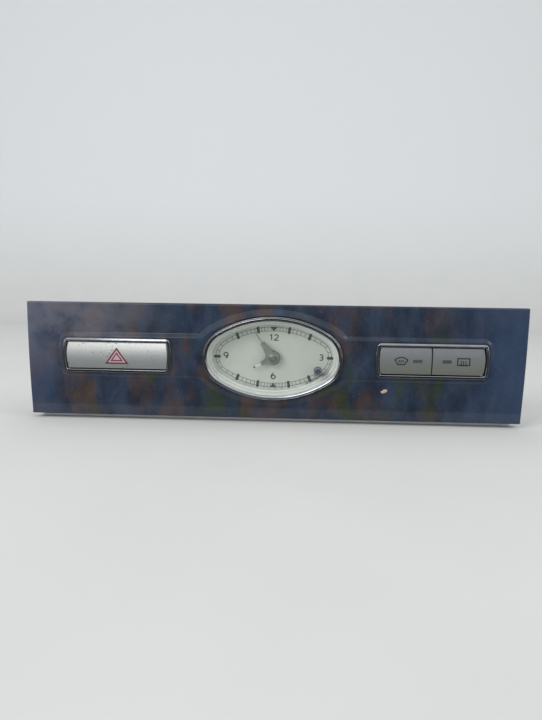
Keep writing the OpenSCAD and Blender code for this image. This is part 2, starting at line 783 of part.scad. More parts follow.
module half_of(side) intersection() {
    children();
    translate([side * (bezel_w + screen_gap) / 2, 0, 0])
        block(bezel_w, 2 * bezel_h, housing_front, button_front + over);
}
module indicator_hole(side, slack)
    translate([side * (screen_x - indicator_x), 0, 0])
        block(indicator_w + 2 * slack, indicator_h + 2 * slack, indicator_back, button_front + over);
module screen_button(side) on_line(switch_x) {
    difference() {
        half_of(side) button_shell(screen_travel);
        indicator_hole(side, running);
    }
    translate([side * (screen_gap + button_wall) / 2, 0, 0])
        block(button_wall, button_h - button_wall, button_back(screen_travel), button_inside + 0.01);
    translate([side * screen_x, 0, 0]) {
        rod(screen_post_r, screen_collar_back, button_inside + 0.01);
        rod(screen_collar_r, screen_collar_back, screen_collar_front);
        rod(screen_nose_r, screen_nose_back, screen_collar_back + 0.01);
    }
}
module screen_indicator(side) on_line(switch_x) intersection() {
    indicator_hole(side, 0);
    button_crown_bar();
}
module screen_spring(side) on_line(switch_x + side * screen_x)
    coil_spring(screen_spring_r, screen_spring_wire, screen_board_front, screen_collar_back, 4);

module screen_bezel() piece([0.8, 0.81, 0.83]) switch_bezel(switch_x);
module front_screen_button() piece([0.5, 0.51, 0.5]) screen_button(-1);
module front_screen_indicator() piece([0.25, 0.26, 0.24]) screen_indicator(-1);
module front_screen_spring() piece([0.6, 0.6, 0.62]) screen_spring(-1);
module rear_screen_button() piece([0.5, 0.51, 0.5]) screen_button(1);
module rear_screen_indicator() piece([0.25, 0.26, 0.24]) screen_indicator(1);
module rear_screen_spring() piece([0.6, 0.6, 0.62]) screen_spring(1);
module screen_housing() piece([0.07, 0.07, 0.08]) on_line(switch_x) difference() {
    housing_body();
    for (s = [-1, 1]) translate([s * screen_x, 0, 0])
        rod(screen_post_r + running, bridge_back - over, housing_front + over);
    for (s = [-1, 1]) translate([s * (screen_x - indicator_x), 0, 0])
        block(indicator_w, indicator_h + 1, bridge_back - over, housing_front + over);
}
module screen_board() piece([0.12, 0.3, 0.18]) on_line(switch_x) difference() {
    block(plug_w, plug_h, base_front, screen_board_front);
    for (x = screen_pins) translate([x, screen_pin_y, 0])
        block(pin_w + 2 * running, pin_w + 2 * running, base_front - over, screen_board_front + over);
}
module screen_micro_switches() piece([0.16, 0.16, 0.17])
    for (s = [-1, 1]) on_line(switch_x + s * screen_x) difference() {
        block(micro_w, micro_w, screen_board_front, screen_board_front + micro_h);
        rod(screen_nose_r + 0.1, screen_board_front + micro_floor, screen_board_front + micro_h + over);
    }
module screen_lamps() piece([0.95, 0.8, 0.5])
    for (s = [-1, 1]) on_line(switch_x + s * (screen_x - indicator_x))
        block(1.6, 1.6, screen_board_front, screen_board_front + screen_lamp_h);
module screen_base() piece([0.12, 0.12, 0.13]) on_line(switch_x) switch_base(screen_pins, screen_pin_y);
module screen_terminals() piece([0.78, 0.72, 0.5]) on_line(switch_x)
    for (x = screen_pins) translate([x, screen_pin_y, 0])
        block(pin_w, pin_w, base_back - pin_l, screen_board_front + 0.8);
module screen_screws() piece([0.3, 0.3, 0.32]) switch_screws(switch_x);

// Clock front

// A rolled outer bead, a groove and an inner bead that turns in over the lens
clock_bezel_back = dial_front + 1;
clock_bezel_profile = [
    [0, clock_bezel_back], [0, bezel_front - 0.7], [-clock_lip * 0.06, bezel_front - 0.3],
    [-clock_lip * 0.2, bezel_front], [-clock_lip * 0.36, bezel_front - 0.05],
    [-clock_lip * 0.46, bezel_front - 0.3], [-clock_lip * 0.55, bezel_front - 0.3],
    [-clock_lip * 0.66, bezel_front - 0.1], [-clock_lip * 0.8, bezel_front - 0.15],
    [-clock_lip * 0.97, bezel_front - 0.6], [-clock_lip, bezel_front - lip_t],
    [-skirt_t, bezel_front - lip_t], [-skirt_t, clock_bezel_back]
];
module clock_bezel() piece([0.82, 0.83, 0.85]) on_line() sweep(clock_path, clock_bezel_profile);
lens_dome_r = 420;
lens_edge_drop = pow(clock_w / 2 - clock_lip, 2) / (2 * lens_dome_r);
set_front = lens_front + lens_edge_drop + set_proud;
module clock_lens() piece([0.9, 0.95, 0.95, 0.35]) on_line() difference() {
    union() {
        slab(clock_path, tube_outer, lens_back, lens_front);
        intersection() {
            slab(clock_path, -clock_lip - fit, lens_back, bezel_front + over);
            translate([0, 0, lens_front + lens_edge_drop - lens_dome_r]) sphere(r = lens_dome_r, $fn = 256);
        }
    }
    translate([set_x, set_y, 0]) rod(set_r + 0.25, lens_back - over, bezel_front + 2);
}
// Hangs on the case's rim under the lens and slopes in to the dial, with a step near the lens
dial_ring_profile = [
    [ring_outer, dial_front], [ring_outer, lens_back - ring_lip_t], [tube_outer, lens_back - ring_lip_t],
    [tube_outer, lens_back], [ring_outer - ring_top_w, lens_back],
    [ring_outer - ring_top_w - 0.4, lens_back - 1.6], [ring_outer - ring_top_w - 0.7, lens_back - 1.7],
    [ring_foot, dial_front]
];
module dial_ring() piece([0.82, 0.83, 0.81]) on_line() sweep(clock_path, dial_ring_profile);
module clock_dial() piece([0.84, 0.85, 0.82]) difference() {
    on_line() slab(clock_path, dial_edge, dial_back, dial_front);
    on_line() rod(tube_r + 0.2, dial_back - over, dial_front + over);
    set_place() rod(set_stem_r + running, dial_back - over, dial_front + over);
}

// A hand that points to +y: hub disc, tapering blade and thin needle
module hand(z, hub_r, bore_r, blade_l, root_w, end_w, needle_l, needle_w, turn)
    on_line() rotate([0, 0, -turn]) difference() {
        translate([0, 0, z]) linear_extrude(hand_t) union() {
            circle(r = hub_r);
            polygon([[-root_w / 2, 0], [root_w / 2, 0], [end_w / 2, blade_l], [-end_w / 2, blade_l]]);
            translate([-needle_w / 2, 0]) square([needle_w, needle_l]);
        }
        rod(bore_r, z - over, z + hand_t + over);
    }
module hour_hand() piece([0.45, 0.46, 0.44])
    hand(hour_hand_z, hour_hub_r, tube_r + 0.02, hour_l * 0.62, 3.2, 2, hour_l, 0.5, hour_at);
module minute_hand() piece([0.45, 0.46, 0.44])
    hand(minute_hand_z, minute_hub_r, arbor_r + 0.02, minute_l * 0.6, 4, 2, minute_l, 0.4, minute_at);
module hand_cap() piece([0.5, 0.5, 0.49]) on_line() translate([0, 0, minute_hand_z + hand_t])
    rotate_extrude() polygon([
        [0, 0], [cap_r, 0], [cap_r, cap_h * 0.5], [cap_r * 0.8, cap_h * 0.9], [cap_r * 0.5, cap_h], [0, cap_h]
    ]);
module set_button() piece([0.3, 0.32, 0.35]) set_place() {
    rod(set_collar_r, set_shoulder, set_shoulder + set_collar_t);
    rod(set_stem_r, set_shoulder, set_head_back + 0.01);
    rotate_extrude() polygon([
        [0, set_head_back], [set_r, set_head_back], [set_r, set_front - set_chamfer],
        [set_r - set_chamfer, set_front], [0, set_front],
    ]);
    rod(set_nose_r, set_nose_back, set_shoulder + 0.01);
}
module set_spring() piece([0.6, 0.6, 0.62]) set_place()
    coil_spring((set_collar_r + set_nose_r) / 2, set_wire, board_front + set_switch_h, set_shoulder, 4);
module set_switch() piece([0.16, 0.16, 0.17]) set_place() difference() {
    block(set_switch_w, set_switch_w, board_front, board_front + set_switch_h);
    rod(set_nose_r + 0.1, board_front + set_floor, board_front + set_switch_h + over);
}

// Clock case and movement

// Flange with four ears, wider by d
module case_flange(d, z0, z1) {
    on_line() slab(clock_path, flange_w + d, z0, z1);
    clock_screw_places() rod(ear_r + d, z0, z1);
}
module clock_case() piece([0.1, 0.1, 0.11]) difference() {
    union() {
        on_line() slab(clock_path, tube_outer, board_back, lens_back - ring_lip_t);
        case_flange(0, flange_back, -carrier_plate);
        cover_screw_places() rod(cover_ear_r, board_back, flange_back + 1);
    }
    on_line() slab(clock_path, tube_inner, dial_back, lens_back + over);
    on_line() slab(clock_path, tube_inner, board_back - over, ledge_back);
    on_line() slab(clock_path, ledge_inner, ledge_back - over, dial_back + over);
    clock_screw_places() rod(screw_r + screw_slack, flange_back - over, -carrier_plate + over);
    cover_screw_places() rod(screw_r + running, board_back - over, cover_seat + cover_screw_l + 1);
}
module light_guide() piece([0.9, 0.95, 0.93, 0.5]) difference() {
    union() {
        on_line() slab(clock_path, ring_outer, guide_back, ledge_back);
        on_line() slab(clock_path, ledge_inner - fit, ledge_back - 0.01, dial_back);
    }
    on_line() rod(tube_r + 0.25, guide_back - over, dial_back + over);
    set_place() rod(set_stem_r + 0.2, guide_back - over, dial_back + over);
}
module movement_holes(z0, z1) {
    lamp_places() rod(lamp_hole_r, z0, z1);
    on_line(third_x) rod(pivot_r + running, z0, z1);
    on_line(rotor_x) translate([0, rotor_y, 0]) rod(pivot_r + running, z0, z1);
}
stator_ends_y = coil_l / 2 + 1.6;
stator_post_r = 0.9;
stator_post_x = coil_x + 2.4;
module stator_post_places()
    for (s = [-1, 1]) on_line(stator_post_x) translate([0, s * stator_ends_y, 0]) children();
module front_plate() piece([0.75, 0.62, 0.35]) {
    difference() {
        on_line() slab(clock_path, ring_outer, front_back, guide_back);
        on_line() rod(tube_r + running, front_back - over, guide_back + over);
        set_place() rod(set_stem_r + running, front_back - over, guide_back + over);
        movement_holes(front_back - over, guide_back + over);
    }
    on_line(motion_x) rod(stud_r, motion_z - 0.2, front_back + 0.01);
    stator_post_places() rod(stator_post_r, stator_z + stator_t, front_back + 0.01);
}
pillar_r = 1.3;
pillar_x = 7.5;
pillar_y = clock_h / 2 - 6;
module back_plate() piece([0.75, 0.62, 0.35]) {
    difference() {
        intersection() {
            on_line() slab(clock_path, ring_outer, back_back, back_front);
            on_line() translate([-clock_w, -clock_h, back_back - over])
                cube([clock_w + back_plate_end, 2 * clock_h, plate_t + 2 * over]);
        }
        on_line() rod(pivot_r + running, back_back - over, back_front + over);
        movement_holes(back_back - over, back_front + over);
    }
    on_line() both_sides(pillar_x, pillar_y) rod(pillar_r, back_front - 0.01, front_back);
}
pivot_in = plate_t - 0.2;
module minute_arbor() piece([0.72, 0.6, 0.32]) on_line() {
    rod(pivot_r, back_front - pivot_in, back_front + 0.3);
    rod(arbor_r + 0.2, back_front + 0.2, motion_z + wheel_t + pinion_extra);
    rod(arbor_r, motion_z, minute_hand_z + hand_t);
    gear(cannon_teeth, motion_m, motion_z - pinion_extra, motion_z + wheel_t + pinion_extra);
    gear(centre_teeth, drive_m, centre_z, centre_z + wheel_t);
}
module hour_wheel() piece([0.72, 0.6, 0.32]) on_line() difference() {
    union() {
        gear(hour_teeth, motion_m, hour_z, hour_z + wheel_t, 180 / hour_teeth);
        rod(tube_r, hour_z, hour_hand_z + hand_t);
    }
    rod(arbor_r + running, hour_z - over, hour_hand_z + hand_t + over);
}
module motion_wheel() piece([0.72, 0.6, 0.32]) on_line(motion_x) difference() {
    union() {
        gear(motion_teeth, motion_m, motion_z, motion_z + wheel_t, 180 + 180 / motion_teeth);
        gear(motion_pinion_teeth, motion_m, motion_z + wheel_t - 0.01, hour_z + wheel_t + 0.1, 180);
    }
    rod(stud_r + running, motion_z - over, hour_z + wheel_t + over);
}
module third_wheel() piece([0.72, 0.6, 0.32]) on_line(third_x) {
    rod(pivot_r, back_front - pivot_in, front_back + pivot_in);
    rod(pivot_r + 0.3, back_front + 0.2, front_back - 0.2);
    gear(third_pinion_teeth, drive_m, centre_z - pinion_extra, centre_z + wheel_t + pinion_extra,
        180 / third_pinion_teeth);
    gear(third_teeth, rotor_m, third_z, third_z + wheel_t, rotor_dir);
}
module rotor() piece([0.35, 0.35, 0.38]) on_line(rotor_x) translate([0, rotor_y, 0]) {
    rod(pivot_r, back_front - pivot_in, front_back + pivot_in);
    rod(magnet_r, centre_z - 0.4, front_back - 0.5);
    gear(rotor_teeth, rotor_m, third_z - pinion_extra, third_z + wheel_t + pinion_extra,
        rotor_dir + 180 + 180 / rotor_teeth);
}
// A flat bar from one point to another
module bar(from, to, width)
    translate(from) rotate([0, 0, atan2(to[1] - from[1], to[0] - from[0])])
        translate([-width / 2, -width / 2]) square([norm(to - from) + width, width]);
module stator() piece([0.45, 0.45, 0.47]) on_line() translate([0, 0, stator_z]) linear_extrude(stator_t)
    difference() {
        union() {
            translate([rotor_x, rotor_y]) circle(r = stator_hole_r + 1.3);
            bar([coil_x, -stator_ends_y], [coil_x, stator_ends_y], core_w);
            for (s = [-1, 1]) {
                bar([coil_x, s * stator_ends_y], [rotor_x, s * stator_ends_y], core_w);
                bar([rotor_x, s * stator_ends_y], [rotor_x, rotor_y + s * (stator_hole_r + 0.5)], core_w);
            }
        }
        translate([rotor_x, rotor_y]) circle(r = stator_hole_r);
    }
module coil() piece([0.6, 0.32, 0.16]) on_line(coil_x) translate([0, 0, stator_z + stator_t / 2])
    rotate([90, 0, 0]) difference() {
        union() {
            rod(coil_r, -coil_l / 2, coil_l / 2);
            for (s = [-1, 1]) translate([0, 0, s * (coil_l - cheek_t) / 2])
                block(2 * coil_r, 2 * coil_r, -cheek_t / 2, cheek_t / 2);
        }
        block(core_w + 2 * fit, stator_t + 2 * fit, -coil_l, coil_l);
    }
clock_pins = [-4.5, -1.5, 1.5, 4.5];
clock_socket_y = -8.6;
socket_place = [0, clock_socket_y, 0];
clock_pin_l = 3;
clock_socket_back = cover_back - socket_wall - clock_pin_l - socket_mouth;
module clock_board() piece([0.12, 0.3, 0.18]) difference() {
    on_line() slab(clock_path, ring_outer, board_back, board_front);
    lamp_places() rod(lamp_hole_r, board_back - over, board_front + over);
    on_line() translate(socket_place) for (x = clock_pins) translate([x, 0, 0])
        block(pin_w + 2 * running, pin_w + 2 * running, board_back - over, board_front + over);
}
// Timing chip with its crystal, a capacitor and a driver chip, behind the board
timing_chip = [7, 5, 1.6];
timing_in = 11.6;
timing_x = timing_in - clock_w / 2;
timing_y = -2;
driver_chip = [6, 3.4, 1.4];
driver_y = 3;
crystal_r = 1.5;
crystal_l = 6;
crystal_y = 4.2;
capacitor_r = 2.6;
capacitor_h = 4;
capacitor_in = 13.1;
capacitor_x = clock_w / 2 - capacitor_in;
module chip(size) block(size[0], size[1], board_back - size[2], board_back);
module board_parts() piece([0.2, 0.2, 0.22]) on_line() {
    translate([timing_x, timing_y, 0]) chip(timing_chip);
    translate([timing_x, crystal_y, board_back - crystal_r]) rotate([0, 90, 0])
        rod(crystal_r, -crystal_l / 2, crystal_l / 2);
    translate([capacitor_x, 0, 0]) rod(capacitor_r, board_back - capacitor_h, board_back);
    translate([0, driver_y, 0]) chip(driver_chip);
}
module rear_cover() piece([0.1, 0.1, 0.11]) difference() {
    union() {
        on_line() slab(clock_path, tube_outer, cover_back, board_back);
        cover_screw_places() rod(cover_ear_r, cover_seat, board_back);
    }
    on_line() slab(clock_path, ring_outer - 1, cover_front, board_back + over);
    lamp_places() rod(holder_r + fit, cover_back - over, cover_front + over);
    on_line() translate(socket_place)
        block(socket_outer_w + 2 * fit, socket_outer_h + 2 * fit, cover_back - over, cover_front + over);
    cover_screw_places() rod(screw_r + screw_slack, cover_seat - over, board_back + over);
    cover_screw_places() rod(head_r + screw_slack, cover_back - over, cover_seat);
}
module lamp_holders() piece([0.2, 0.32, 0.2]) lamp_places() difference() {
    union() {
        rod(holder_flange_r, cover_back - holder_flange_t, cover_back);
        rod(holder_r, cover_back - 0.01, board_back - 0.4);
        block(1.6, 2 * holder_flange_r - 2, cover_back - holder_flange_t - holder_grip,
            cover_back - holder_flange_t + 0.01);
    }
    rod(lamp_r + 0.1, cover_back + holder_floor, board_back + over);
}
module lamps() piece([0.95, 0.93, 0.85]) lamp_places() {
    rod(lamp_r, cover_back + holder_floor, guide_back - lamp_gap - lamp_r);
    translate([0, 0, guide_back - lamp_gap - lamp_r]) sphere(r = lamp_r);
}
module clock_socket() piece([0.85, 0.84, 0.78]) on_line() translate(socket_place) difference() {
    union() {
        plug_box(clock_socket_back, cover_back - 0.5);
        block(socket_outer_w, socket_outer_h, cover_back - 0.6, board_back);
    }
    for (x = clock_pins) translate([x, 0, 0])
        block(pin_w + 2 * running, pin_w + 2 * running, cover_back - 4, board_back + over);
}
module clock_terminals() piece([0.78, 0.72, 0.5]) on_line() translate(socket_place)
    for (x = clock_pins) translate([x, 0, 0])
        block(pin_w, pin_w, clock_socket_back + socket_mouth, board_front + 0.1);
module clock_screws() piece([0.3, 0.3, 0.32])
    clock_screw_places() screw(flange_back, flange_t + carrier_plate + boss_h - 1);
module cover_screws() piece([0.3, 0.3, 0.32])
    cover_screw_places() screw(cover_seat, cover_screw_l);

fascia_panel();
carrier_frame();
carrier_screws();
spring_clips();
hazard_bezel();
hazard_button();
hazard_plunger();
hazard_spring();
hazard_contact_bridge();
hazard_housing();
hazard_base();
hazard_terminals();
hazard_lamp();
hazard_screws();
screen_bezel();
front_screen_button();
front_screen_indicator();
front_screen_spring();
rear_screen_button();
rear_screen_indicator();
rear_screen_spring();
screen_housing();
screen_board();
screen_micro_switches();
screen_lamps();
screen_base();
screen_terminals();
screen_screws();
clock_bezel();
clock_lens();
dial_ring();
clock_dial();
hour_hand();
minute_hand();
hand_cap();
set_button();
set_spring();
set_switch();
clock_case();
light_guide();
front_plate();
back_plate();
minute_arbor();
hour_wheel();
motion_wheel();
third_wheel();
rotor();
stator();
coil();
clock_board();
board_parts();
rear_cover();
lamp_holders();
lamps();
clock_socket();
clock_terminals();
clock_screws();
cover_screws();
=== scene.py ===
"""Dashboard clock panel: a lacquered panel with a hazard switch, an oval clock and two screen switches.

Shapes are worked out in the maker's frame, in millimetres: x across the panel, y up from the carrier's
lower face, z towards the driver. One function turns that into the metres of the shared frame.
"""
import json
import logging
import math
from dataclasses import dataclass, field
from enum import Enum
from typing import Any, Callable, Iterable, Sequence

import bmesh
import bpy
import numpy as np
from mathutils import Matrix, Vector
from mathutils.geometry import delaunay_2d_cdt

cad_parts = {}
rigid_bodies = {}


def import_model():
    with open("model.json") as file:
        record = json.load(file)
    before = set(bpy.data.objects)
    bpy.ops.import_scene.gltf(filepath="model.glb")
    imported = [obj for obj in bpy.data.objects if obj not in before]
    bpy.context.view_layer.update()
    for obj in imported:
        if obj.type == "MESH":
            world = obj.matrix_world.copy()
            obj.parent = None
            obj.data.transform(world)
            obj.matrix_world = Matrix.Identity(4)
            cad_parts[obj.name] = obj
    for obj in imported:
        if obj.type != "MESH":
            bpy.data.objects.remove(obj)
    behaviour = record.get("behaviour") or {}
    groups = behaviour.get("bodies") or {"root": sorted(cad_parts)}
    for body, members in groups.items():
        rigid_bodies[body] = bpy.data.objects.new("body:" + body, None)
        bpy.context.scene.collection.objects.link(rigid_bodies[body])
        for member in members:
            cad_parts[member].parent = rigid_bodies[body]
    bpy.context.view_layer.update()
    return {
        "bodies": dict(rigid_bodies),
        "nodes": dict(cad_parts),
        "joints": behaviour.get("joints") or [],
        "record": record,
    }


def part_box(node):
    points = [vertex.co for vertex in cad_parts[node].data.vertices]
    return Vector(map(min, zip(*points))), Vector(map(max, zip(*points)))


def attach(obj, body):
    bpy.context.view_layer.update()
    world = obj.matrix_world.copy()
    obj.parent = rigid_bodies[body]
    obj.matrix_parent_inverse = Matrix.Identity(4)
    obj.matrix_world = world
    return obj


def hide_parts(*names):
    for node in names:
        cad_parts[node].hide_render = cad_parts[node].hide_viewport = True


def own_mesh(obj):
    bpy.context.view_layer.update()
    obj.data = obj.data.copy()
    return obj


LOG = logging.getLogger("dashboard_clock")
MM = 0.001
REAR_SHIFT = 8.0
LINE_Y = 30.5
SWITCH_X = 72.2
BEZEL_W = 50.7
BEZEL_H = 15.8
BEZEL_BOW = 0.9
BEZEL_CORNER = 2.2
CLOCK_W = 64.0
CLOCK_H = 38.0
CLOCK_END_R = 13.5
SET_X = 20.8
SET_Y = LINE_Y - 5.4

Points = np.ndarray
Pair = tuple[float, float]
Height = Callable[[Points, Points], Points]
Tree = bpy.types.NodeTree
Socket = bpy.types.NodeSocket

LINE = np.array([0.0, LINE_Y])
NO_POINTS = np.empty((0, 2))


class Part(Enum):
    """Bodies that the pieces ride on."""

    PANEL = "panel"
    HAZARD = "hazard_key"
    FRONT_SCREEN = "front_screen_key"
    REAR_SCREEN = "rear_screen_key"
    SET = "set_key"
    MINUTE = "minute_train"
    HOUR = "hour_train"


class Side(Enum):
    """The share of a switch that a cap covers."""

    LEFT = -1
    WHOLE = 0
    RIGHT = 1


def row(points: Points) -> Points:
    """Turns part points in millimetres into the shared frame in metres."""
    points = np.asarray(points, float).reshape(-1, 3)
    return np.stack([points[:, 0], -points[:, 2] - REAR_SHIFT, points[:, 1]], 1) * MM


def part_z(y: float) -> float:
    """Turns a y of the shared frame, in metres, into a level of the part in millimetres."""
    return -y / MM - REAR_SHIFT


def smooth(t: Points) -> Points:
    """Eases from 0 to 1 with level ends."""
    t = np.clip(t, 0.0, 1.0)
    return t * t * (3.0 - 2.0 * t)


def chamfer(t: Points, ease: float = 0.06) -> Points:
    """Rises from 0 to 1 in a straight slope with softened ends.

    Args:
        t: Share of the way, held between 0 and 1.
        ease: Share of the way that each softened end takes.

    Returns:
        The height.
    """
    t = np.clip(t, 0.0, 1.0)
    end = np.minimum(t, 1.0 - t)
    bend = np.minimum(end, ease)
    rise = (bend ** 2 / (2.0 * ease) + end - bend) / (1.0 - ease)
    return np.where(t < 0.5, rise, 1.0 - rise)


def rolled(inset: Points, r: float) -> Points:
    """Gives how far a rounded edge has fallen at a distance in from it."""
    return r - np.sqrt(np.maximum(0, r ** 2 - (r - np.clip(inset, 0, r)) ** 2))


def link(name: str, data: bpy.types.ID) -> bpy.types.Object:
    """Makes an object and puts it in the scene.

    Args:
        name: The object's name.
        data: Its mesh, light or camera.

    Returns:
        The object.
    """
    made = bpy.data.objects.new(name, data)
    bpy.context.scene.collection.objects.link(made)
    return made


# Outlines


@dataclass(frozen=True)
class Arc:
    """One arc of an outline, in millimetres and degrees."""

    x: float
    y: float
    r: float
    start: float
    end: float

    def at(self, turn: Any, out: float = 0.0) -> Points:
        """Gives points on the arc moved outwards."""
        a = np.radians(turn)
        return np.stack([self.x + (self.r + out) * np.cos(a), self.y + (self.r + out) * np.sin(a)], -1)


@dataclass(frozen=True)
class Outline:
    """A closed outline of arcs in anticlockwise order, joined by straight runs."""

    arcs: tuple[Arc, ...]

    @classmethod
    def oval(cls, w: float, h: float, r: float) -> "Outline":
        """Makes an oval of four arcs that meet smoothly.

        Args:
            w: Width.
            h: Height.
            r: Radius of the two end arcs.

        Returns:
            The oval about the origin.
        """
        a, b = w / 2, h / 2
        top = ((a - r) ** 2 + b * b - r * r) / (2 * (b - r))
        t = math.degrees(math.atan2(top - b, a - r))
        return cls((
            Arc(a - r, 0, r, -t, t), Arc(0, b - top, top, t, 180 - t),
            Arc(r - a, 0, r, 180 - t, 180 + t), Arc(0, top - b, top, 180 + t, 360 - t),
        ))

    @classmethod
    def barrel(cls, w: float, h: float, bow: float, r: float) -> "Outline":
        """Makes a long rectangle with bowed ends and round corners.

        Args:
            w: Width over the bowed ends.
            h: Height.
            bow: Rise of each bowed end.
            r: Radius of the corners.

        Returns:
            The outline about the origin.
        """
        a, b = w / 2, h / 2
        end_r = (b * b + bow * bow) / (2 * bow)
        end_x, cy = a - end_r, b - r
        cx = end_x + math.sqrt((end_r - r) ** 2 - cy * cy)
        t = math.degrees(math.atan2(cy, cx - end_x))
        return cls((
            Arc(end_x, 0, end_r, -t, t), Arc(cx, cy, r, t, 90), Arc(-cx, cy, r, 90, 180 - t),
            Arc(-end_x, 0, end_r, 180 - t, 180 + t), Arc(-cx, -cy, r, 180 + t, 270),
            Arc(cx, -cy, r, 270, 360 - t),
        ))

    @classmethod
    def trapezium(cls, top_w: float, low_w: float, low: float, high: float, r: float) -> "Outline":
        """Makes a panel outline that narrows downwards, with small round corners.

        Args:
            top_w: Width at the top.
            low_w: Width at the bottom.
            low: Level of the bottom.
            high: Level of the top.
            r: Radius of the corners.

        Returns:
            The outline about the middle line.
        """
        lean = math.atan2((top_w - low_w) / 2, high - low)
        inset = r * (1 - math.sin(lean)) / math.cos(lean)
        tx, lx = top_w / 2 - inset, low_w / 2 - inset
        lean = math.degrees(lean)
        return cls((
            Arc(tx, high - r, r, -lean, 90), Arc(-tx, high - r, r, 90, 180 + lean),
            Arc(-lx, low + r, r, 180 + lean, 270), Arc(lx, low + r, r, 270, 360 - lean),
        ))

    def runs(self) -> Iterable[tuple[Arc, Arc, float]]:
        """Gives each arc with the one after it and the length of the straight run between them."""
        for arc, after in zip(self.arcs, self.arcs[1:] + self.arcs[:1]):
            yield arc, after, float(np.linalg.norm(after.at(after.start) - arc.at(arc.end)))

    def points(self, out: float = 0.0, step: float = 0.5) -> Points:
        """Gives evenly spaced points round the outline.

        Args:
            out: Distance outwards from the outline.
            step: Spacing of the points in millimetres.

        Returns:
            Points in order, with the same count for every distance.
        """
        found = []
        for arc, after, gap in self.runs():
            count = max(5, math.ceil(math.radians(arc.end - arc.start) * arc.r / step))
            found.append(arc.at(np.linspace(arc.start, arc.end, count), out))
            if gap < 1e-6:
                found[-1] = found[-1][:-1]
            else:
                share = np.linspace(0, 1, max(2, math.ceil(gap / step)))[1:-1, None]
                last, first = arc.at(arc.end, out), after.at(after.start, out)
                found.append(last + (first - last) * share)
        return np.concatenate(found)

    def distance(self, x: Points, y: Points) -> Points:
        """Gives the signed distance of points from the outline.

        Args:
            x: The points' places across.
            y: The points' heights.

        Returns:
            Distances, negative inside.
        """
        best = np.full(np.shape(x), 1e9)
        for arc, after, length in self.runs():
            turn = np.degrees(np.arctan2(y - arc.y, x - arc.x))
            inside = (turn - arc.start) % 360 <= arc.end - arc.start
            gap = np.hypot(x - arc.x, y - arc.y) - arc.r
            best = np.where(inside & (np.abs(gap) < np.abs(best)), gap, best)
            if length > 1e-6:
                first = arc.at(arc.end)
                run = (after.at(after.start) - first) / length
                along = (x - first[0]) * run[0] + (y - first[1]) * run[1]
                gap = (x - first[0]) * run[1] - (y - first[1]) * run[0]
                near = (along >= 0) & (along <= length) & (np.abs(gap) < np.abs(best))
                best = np.where(near, gap, best)
        return best


def arc_line(x: float, y: float, r: float, start: float, end: float, count: int = 14) -> list[Pair]:
    """Gives points along an arc, from one direction in degrees to another."""
    turn = np.radians(np.linspace(start, end, count))
    return [(x + r * math.cos(t), y + r * math.sin(t)) for t in turn]


def circle(count: int) -> Points:
    """Gives points round a circle of radius 1."""
    turn = np.linspace(0, 2 * math.pi, count, endpoint=False)
    return np.stack([np.cos(turn), np.sin(turn)], 1)


def towards(turn: float) -> Points:
    """Gives a clock direction, in degrees from the top."""
    return np.array([math.sin(math.radians(turn)), math.cos(math.radians(turn))])


def grid(x0: float, x1: float, y0: float, y1: float, step: float) -> Points:
    """Gives points in staggered rows over a rectangle.

    Args:
        x0: Left side.
        x1: Right side.
        y0: Bottom.
        y1: Top.
        step: Spacing along a row.

    Returns:
        The points.
    """
    rows = []
    for i, y in enumerate(np.arange(y0, y1, step * 0.866)):
        rows += [(x, y) for x in np.arange(x0 + (i % 2) * step / 2, x1, step)]
    return np.array(rows)


def stroke(points: Sequence[Pair], width: float, closed: bool = False, step: float = 0.6) -> list[Points]:
    """Gives the four-sided pieces of a line of even width, mitred at the corners.

    Args:
        points: Corners of the line.
        width: Its width.
        closed: True where the line comes back to its start.
        step: Longest piece, short enough to follow a crowned surface.

    Returns:
        The pieces in order.
    """
    p = np.asarray(points, float)
    ahead = np.roll(p, -1, 0) - p
    if not closed:
        ahead[-1] = ahead[-2]
    ahead /= np.linalg.norm(ahead, axis=1)[:, None]
    behind = np.roll(ahead, 1, 0)
    if not closed:
        behind[0] = ahead[0]
    normal = np.stack([-ahead[:, 1] - behind[:, 1], ahead[:, 0] + behind[:, 0]], 1)
    normal /= np.linalg.norm(normal, axis=1)[:, None]
    across = (normal * np.stack([-ahead[:, 1], ahead[:, 0]], 1)).sum(1)
    reach = normal * (width / 2 / np.maximum(0.4, across))[:, None]
    left, right = p + reach, p - reach
    found, n = [], len(p)
    for i in range(n if closed else n - 1):
        j = (i + 1) % n
        count = max(1, math.ceil(float(np.linalg.norm(p[j] - p[i])) / step))
        cuts = np.linspace(0, 1, 1 + count)[:, None]
        a, b = right[i] + (right[j] - right[i]) * cuts, left[i] + (left[j] - left[i]) * cuts
        found += [np.array([a[k], a[k + 1], b[k + 1], b[k]]) for k in range(count)]
    return found


def figure(digit: str) -> list[tuple[list[Pair], bool]]:
    """Gives the lines of a plain dial figure of height 1, about its middle, and which of them close.

    Args:
        digit: One of 1, 2, 3, 6 and 9.

    Returns:
        Each line with True where it comes back to its start.
    """
    lines = {
        "1": [([(-0.16, 0.3), (0.06, 0.46), (0.06, -0.46)], False)],
        "2": [(arc_line(0, 0.2, 0.26, 165, -35) + [(-0.28, -0.46), (0.32, -0.46)], False)],
        "3": [(arc_line(-0.02, 0.23, 0.23, 150, -90) + arc_line(-0.02, -0.23, 0.25, 80, -150), False)],
        "6": [(arc_line(0, -0.18, 0.29, 0, 345, 22), True), (arc_line(0.46, -0.14, 0.75, 180, 124), False)],
    }
    if digit == "9":
        return [([(-x, -y) for x, y in line], closed) for line, closed in lines["6"]]
    return lines[digit]


# Meshes


